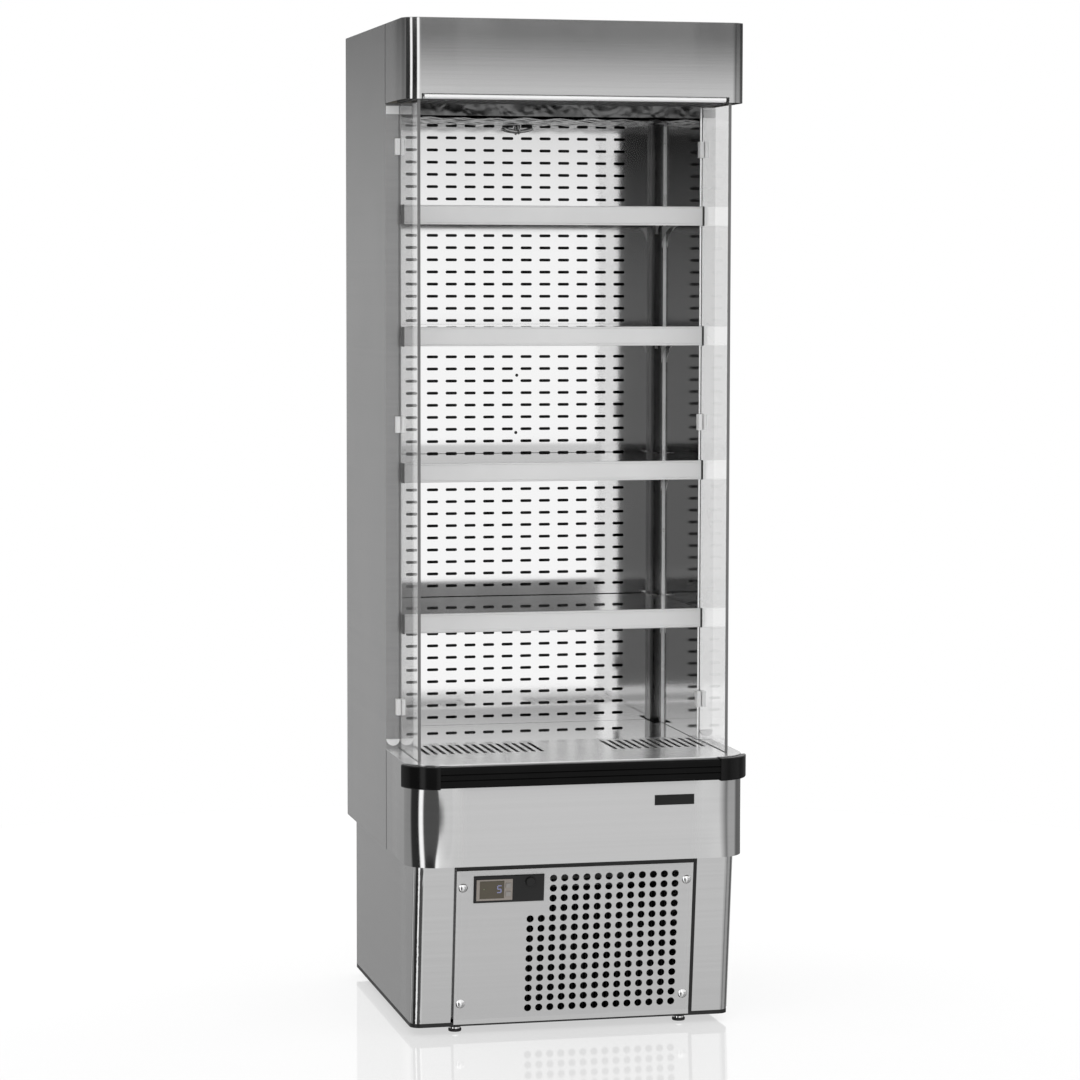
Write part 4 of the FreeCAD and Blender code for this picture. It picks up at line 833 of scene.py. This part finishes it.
def lean(bm, ahead=0.0):
    """Moves a bmesh drawn about y 0 onto the plinth, whose face leans out towards its top."""
    for vertex in bm.verts:
        vertex.co.y += PLINTH_Y - PLINTH_LEAN * (vertex.co.z - PLINTH_Z) - ahead


SEAL_FRONT, SEAL_BACK, SEAL_GAP = 0.0005, 0.008, 0.0005
STRIP_FROM, STRIP_TO, STRIP_AHEAD = 0.0002, 0.0072, 0.0002
grille_low, grille_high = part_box("grille_panel")
seal_top = panel_low.z - SEAL_GAP
bm = bmesh.new()
block(bm, (grille_low.x, SEAL_FRONT, grille_high.z), (grille_high.x, SEAL_BACK, seal_top))
block(
    bm, (grille_high.x + STRIP_FROM, -STRIP_AHEAD, PLINTH_Z),
    (grille_high.x + STRIP_TO, SEAL_FRONT, seal_top),
)
lean(bm)
piece("grille_seal", bm, "black_plastic", smooth=False)

RIM_HALF, RIM_AHEAD, RIM_UP, RIM_OVER = 0.239, 0.0006, 0.0035, 0.001
tray_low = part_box("base_tray")[0]
bm = bmesh.new()
block(
    bm, (-RIM_HALF, tray_low.y - RIM_AHEAD, tray_low.z + RIM_UP),
    (RIM_HALF, tray_low.y, grille_low.z + RIM_OVER),
)
piece("tray_rim", bm, "base_steel", smooth=False)

END_AHEAD = 0.0002
glass_low, glass_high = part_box("glass_right")
bm = bmesh.new()
block(
    bm, (-skin_high.x, skin_low.y - END_AHEAD, glass_low.z),
    (-skin_low.x, skin_low.y, glass_high.z),
)
piece("wall_end_right", bm, "end_steel", smooth=False)

BADGE_X, BADGE_Z, BADGE_DEEP, BADGE_BEVEL = (0.150, 0.230), (0.4525, 0.4725), 0.0015, 0.0005
badge_front = panel_low.y - BADGE_DEEP
bm = bmesh.new()
block(bm, (BADGE_X[0], badge_front, BADGE_Z[0]), (BADGE_X[1], panel_low.y, BADGE_Z[1]))
rim = [e for e in bm.edges if all(v.co.y < panel_low.y - BADGE_BEVEL for v in e.verts)]
soften(bm, BADGE_BEVEL, 2, rim)
badge = piece("badge_plate", bm, "badge_black")
weigh(badge)
print("gaskets, seal and badge plate placed")

# %% [markdown]
# ## Inner walls and ceiling
# The inner side walls are bright sheets over the liner. Under the ceiling panel hangs thin foil
# that was never flat: crossed waves of a few millimetres break up what it mirrors.

# %% Wall linings and rippled ceiling
LINING_X, LINING_HALF = 0.30385, 0.00015
LINING_Y, LINING_Z = (-0.096, 0.2308), (0.5458, 1.8025)
bm = bmesh.new()
for x in (-LINING_X, LINING_X):
    block(bm, (x - LINING_HALF, LINING_Y[0], LINING_Z[0]), (x + LINING_HALF, LINING_Y[1], LINING_Z[1]))
piece("wall_linings", bm, "mirror_steel", smooth=False)

LIP_X, LIP_DEEP = (0.3003, 0.3037), 0.0008
low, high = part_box("shelf_uprights")
bm = bmesh.new()
for side in (-1, 1):
    ends = sorted(side * x for x in LIP_X)
    block(bm, (ends[0], low.y - LIP_DEEP, low.z), (ends[1], low.y, high.z))
piece("upright_lips", bm, "bar_aluminium", smooth=False)

CEILING_HALF, CEILING_Y, CEILING_Z = 0.3035, (-0.096, 0.2305), 1.8022
RIPPLE, RIPPLE_X, RIPPLE_Y = 0.0014, 95.0, 150.0  # height, and waves in radians per metre
SWAY, SWAY_ALONG_Y, SWAY_ALONG_X = 0.8, 41, 37
bm = bmesh.new()
bmesh.ops.create_grid(bm, x_segments=150, y_segments=90, size=1.0)
for vertex in bm.verts:
    x = vertex.co.x * CEILING_HALF
    y = (CEILING_Y[0] + CEILING_Y[1]) / 2 + vertex.co.y * (CEILING_Y[1] - CEILING_Y[0]) / 2
    across = math.sin(RIPPLE_X * x + SWAY * math.sin(SWAY_ALONG_Y * y))
    along = math.sin(RIPPLE_Y * y + SWAY * math.sin(SWAY_ALONG_X * x + 1))
    vertex.co = (x, y, CEILING_Z - RIPPLE * (2 - (across + along)))
bmesh.ops.reverse_faces(bm, faces=bm.faces)
piece("ceiling_foil", bm, "rippled_steel_painted_shade", tidy=False)
print("linings 2, lips 2, ceiling foil laid")

# %% [markdown]
# ## Vent hoods
# The air slots in the rear of the base were pressed with small hoods inside, which keep light from
# passing straight through the machine space. Each hood is a blade with a roof that joins the panel.

# %% Hoods behind the rear slots
SLOT_ROWS, SLOT_FROM, SLOT_PITCH = 10, 0.060, 0.020
HOOD_HALF, HOOD_RISE, HOOD_DEEP, HOOD_SHEET = 0.104, 0.0065, 0.007, 0.0008
rear_low, rear_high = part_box("base_rear_panel")
blade_front = rear_low.y - HOOD_DEEP
blade_back = blade_front + HOOD_SHEET
bm = bmesh.new()
for bank in (-1, 1):
    middle = bank * rear_high.x / 2
    left, right = middle - HOOD_HALF, middle + HOOD_HALF
    for number in range(SLOT_ROWS):
        z = rear_low.z + SLOT_FROM + SLOT_PITCH * number
        block(bm, (left, blade_front, z - HOOD_RISE), (right, blade_back, z + HOOD_RISE))
        block(bm, (left, blade_back, z + HOOD_RISE - HOOD_SHEET), (right, rear_low.y, z + HOOD_RISE))
piece("vent_hoods", bm, "galvanised", smooth=False)
print("hoods", 2 * SLOT_ROWS)

# %% [markdown]
# ## Controller figures
# The display shows one figure and a small lamp. Seven bars make any digit; each bar is a thin box
# drawn upright and then leaned onto the plinth, just ahead of the lens.

# %% Figure and lamp of the display
BARS = {  # name: centre across and up, in units of half the figure, and whether it lies flat
    "top": (0, 1, True), "middle": (0, 0, True), "bottom": (0, -1, True),
    "upper_left": (-1, 0.5, False), "upper_right": (1, 0.5, False),
    "lower_left": (-1, -0.5, False), "lower_right": (1, -0.5, False),
}
FIGURE_FIVE = ("top", "upper_left", "middle", "lower_right", "bottom")
FIGURE_AT, FIGURE_HALF = (-0.1545, 0.2920), (0.0038, 0.0068)
FIGURE_SLANT, BAR_HALF, BAR_DEEP, GLOW_AHEAD = 0.0008, 0.0011, 0.0001, 0.0042
FLAT_GAP, TALL_GAP = 0.0002, 0.0004
LAMP_AT, LAMP_RADIUS = (-0.185, 0, 0.2925), 0.0011
bm = bmesh.new()
for bar in FIGURE_FIVE:
    across, up, flat = BARS[bar]
    x = FIGURE_AT[0] + across * FIGURE_HALF[0] + up * FIGURE_SLANT
    z = FIGURE_AT[1] + up * FIGURE_HALF[1]
    wide = FIGURE_HALF[0] - FLAT_GAP if flat else BAR_HALF
    tall = BAR_HALF if flat else FIGURE_HALF[1] / 2 - TALL_GAP
    block(bm, (x - wide, -BAR_DEEP, z - tall), (x + wide, BAR_DEEP, z + tall))
lean(bm, GLOW_AHEAD)
piece("display_figure", bm, "figure_glow", smooth=False)

bm = bmesh.new()
bmesh.ops.create_cone(
    bm, cap_ends=True, segments=16, radius1=LAMP_RADIUS, radius2=LAMP_RADIUS, depth=2 * BAR_DEEP,
    matrix=Matrix.Translation(LAMP_AT) @ Matrix.Rotation(math.pi / 2, 4, "X"),
)
lean(bm, GLOW_AHEAD)
piece("display_lamp", bm, "lamp_glow", smooth=False)
print("display figure of", len(FIGURE_FIVE), "bars")

# %% [markdown]
# ## Feet and screws
# A levelling foot is a rubber pad under a steel cup, a hexagon for the spanner and a threaded
# stem. The round parts are profiles spun about the upright axis. The rear panel is held by small
# round-headed screws that look dark against it.

# %% Levelling feet and rear screws
def turned(bm, profile, centre, steps=32):
    """Spins a profile of (radius, height) points about the upright through centre."""
    centre = Vector(centre)
    spots = [bm.verts.new(centre + Vector((radius, 0, up))) for radius, up in profile]
    edges = [bm.edges.new(pair) for pair in zip(spots, spots[1:])]
    bmesh.ops.spin(
        bm, geom=spots + edges, cent=centre, axis=(0, 0, 1), angle=2 * math.pi, steps=steps,
        use_merge=True, use_normal_flip=False, use_duplicate=False,
    )
    bmesh.ops.remove_doubles(bm, verts=bm.verts, dist=1e-6)
    bmesh.ops.dissolve_degenerate(bm, edges=bm.edges, dist=1e-6)


PAD_HEIGHT, PAD_ROUND = 0.006, 0.001
CUP_FROM, CUP_TO, CUP_INSET, NECK_RADIUS, NECK_UP, CUP_TOP = 0.0061, 0.009, 0.0015, 0.008, 0.013, 0.014
HEX_RADIUS, HEX_HEIGHT, HEX_MIDDLE = 0.0095, 0.007, 0.0175
THREAD_FROM, THREAD_PITCH, THREAD_DEEP, STEM_RADIUS = 0.0215, 0.0025, 0.0007, 0.005
for number in (1, 2, 3, 4):
    node_name = f"levelling_foot_{number}"
    low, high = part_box(node_name)
    middle = (low + high) / 2
    base = (middle.x, middle.y, low.z)
    radius = (high.x - low.x) / 2
    tall = high.z - low.z
    pad = [(0, 0), (radius - PAD_ROUND, 0), (radius, PAD_ROUND), (radius, PAD_HEIGHT - PAD_ROUND)]
    pad += [(radius - PAD_ROUND, PAD_HEIGHT), (0, PAD_HEIGHT)]
    bm = bmesh.new()
    turned(bm, pad, base)
    piece(f"foot_pad_{number}", bm, "foot_rubber", body=f"foot_{number}")

    core = STEM_RADIUS - THREAD_DEEP
    stem = [(0, CUP_FROM), (radius - CUP_INSET, CUP_FROM), (radius - CUP_INSET, CUP_TO)]
    stem += [(NECK_RADIUS, NECK_UP), (STEM_RADIUS, CUP_TOP)]
    up = THREAD_FROM
    while up + THREAD_PITCH < tall - PAD_ROUND:
        stem += [(core, up), (STEM_RADIUS, up + THREAD_PITCH / 2)]
        up += THREAD_PITCH
    stem += [(core, up), (core, tall), (0, tall)]
    bm = bmesh.new()
    turned(bm, stem, base, 24)
    bmesh.ops.create_cone(
        bm, cap_ends=True, segments=6, radius1=HEX_RADIUS, radius2=HEX_RADIUS, depth=HEX_HEIGHT,
        matrix=Matrix.Translation((middle.x, middle.y, low.z + HEX_MIDDLE)),
    )
    piece(f"foot_stem_{number}", bm, "bright_steel", body=f"foot_{number}",
          stands_for=(node_name,))

SCREWS_AT = ((0.0, 1.2790), (-0.002, 1.1590), (0.0, 1.7960))
HEAD_RADIUS, HEAD_FLATNESS = 0.0034, 0.45
panel_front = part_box("rear_air_panel")[0].y
bm = bmesh.new()
for x, z in SCREWS_AT:
    head = bmesh.ops.create_uvsphere(
        bm, u_segments=16, v_segments=8, radius=HEAD_RADIUS,
        matrix=Matrix.Translation((x, panel_front, z)) @ Matrix.Diagonal((1, HEAD_FLATNESS, 1, 1)),
    )
    hidden = [v for v in head["verts"] if v.co.y > panel_front + 1e-4]
    bmesh.ops.delete(bm, geom=hidden, context="VERTS")
piece("air_panel_screws", bm, "dark_plastic")
print("feet 4, screws 3")

# %% [markdown]
# ## Shelf gussets
# Under each shelf bracket a small plate with a hollow lower edge runs down to the slotted upright.
# A quarter turn of one vertex, squeezed to the plate's height, draws that edge; a face fills it up
# to the top rear corner, and is then given its thickness.

# %% Gusset plates
GUSSET_FRONT, GUSSET_BACK, GUSSET_DROP, GUSSET_DEEP = 0.080, 0.1725, 0.044, 0.0015
GUSSET_X, GUSSET_BELOW = 0.2990, 0.002
GUSSET_LONG = GUSSET_BACK - GUSSET_FRONT
bm = bmesh.new()
for number in (1, 2, 3, 4):
    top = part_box(f"shelf_tray_{number}")[0].z - GUSSET_BELOW
    for side in (-1, 1):
        x = side * GUSSET_X
        centre = Vector((x, GUSSET_FRONT, top - GUSSET_DROP))
        start = bm.verts.new(centre + Vector((0, 0, GUSSET_LONG)))
        bmesh.ops.spin(
            bm, geom=[start], cent=centre, axis=(-1, 0, 0), angle=math.pi / 2, steps=14,
            use_merge=False, use_normal_flip=False, use_duplicate=False,
        )
        arc = [start]
        while True:
            following = [e.other_vert(arc[-1]) for e in arc[-1].link_edges]
            following = [v for v in following if v not in arc]
            if not following:
                break
            arc.append(following[0])
        for vertex in arc:
            vertex.co.z = centre.z + (vertex.co.z - centre.z) * GUSSET_DROP / GUSSET_LONG
        plate = bm.faces.new(arc + [bm.verts.new((x, GUSSET_BACK, top))])
        raised = bmesh.ops.extrude_face_region(bm, geom=[plate])["geom"]
        moved = [g for g in raised if isinstance(g, bmesh.types.BMVert)]
        bmesh.ops.translate(bm, vec=(-side * GUSSET_DEEP, 0, 0), verts=moved)
gussets = piece("shelf_gussets", bm, "bracket_steel")
print("gussets", len(gussets.data.polygons), "faces")

# %% [markdown]
# ## Night blind cloth
# The short strip between the roller and the pull bar is cloth. It is a grid of rows, given the cloth's
# thickness by a Solidify modifier.

# %% Cloth strip
CLOTH_ROWS = 24
cloth_low, cloth_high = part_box("blind_cloth")
cloth_middle = (cloth_low.y + cloth_high.y) / 2
bm = bmesh.new()
start = bm.verts.new((cloth_low.x, cloth_middle, cloth_low.z))
end = bm.verts.new((cloth_high.x, cloth_middle, cloth_low.z))
row = [bm.edges.new((start, end))]
bmesh.ops.subdivide_edges(bm, edges=row, cuts=11)
row = list(bm.edges)
row_step = (cloth_high.z - cloth_low.z) / CLOTH_ROWS
for step in range(CLOTH_ROWS):
    raised = bmesh.ops.extrude_edge_only(bm, edges=row)["geom"]
    row = [g for g in raised if isinstance(g, bmesh.types.BMEdge) and not is_rung(g, raised)]
    fresh = [g for g in raised if isinstance(g, bmesh.types.BMVert)]
    bmesh.ops.translate(bm, vec=(0, 0, row_step), verts=fresh)
cloth = piece("night_blind_cloth", bm, "blind_fabric", body=None,
              stands_for=("blind_cloth",))
weave_depth = cloth.modifiers.new("cloth", "SOLIDIFY")
weave_depth.thickness = cloth_high.y - cloth_low.y
weave_depth.offset = 0.0
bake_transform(cloth)
print("cloth strip", [round(c, 4) for c in cloth_high - cloth_low])

# %% [markdown]
# ## Floor
# The photograph stands on a pale glossy floor that mirrors the feet faintly. It isn't part of the
# cabinet. A little mirror is mixed into plain white, and a little glow keeps the shadow under the base
# faint. The steel doesn't mirror the floor, because the studio pattern on the world already holds what
# the photograph shows below the horizon.

# %% Pale floor
FLOOR_RADIUS = 2.6
bm = bmesh.new()
bmesh.ops.create_circle(bm, cap_ends=True, segments=96, radius=FLOOR_RADIUS)
floor_mesh = bpy.data.meshes.new("floor")
bm.to_mesh(floor_mesh)
bm.free()
floor = bpy.data.objects.new("floor", floor_mesh)
bpy.context.scene.collection.objects.link(floor)
tree, shader, here = start_material("studio_floor")
clouds = place_group(tree, CLOUDS, Vector=here, Size=0.8)
tint = colour_between(tree, clouds.outputs["Mask"], grey(0.34), grey(0.36))
link(tree, tint, shader.inputs["Base Color"])
shader.inputs["Emission Color"].default_value = (1, 1, 1, 1)
shader.inputs["Emission Strength"].default_value = 0.58
shader.inputs["Metallic"].default_value = 0.42
shader.inputs["Roughness"].default_value = 0.05
shader.inputs["Specular IOR Level"].default_value = 0.0
floor_mesh.materials.append(finish["studio_floor"])
floor.visible_glossy = False
print("floor laid")

# %% [markdown]
# ## Finish
# The last cell sets the colour transform.

# %% Colour transform
bpy.context.scene.view_settings.view_transform = "Standard"
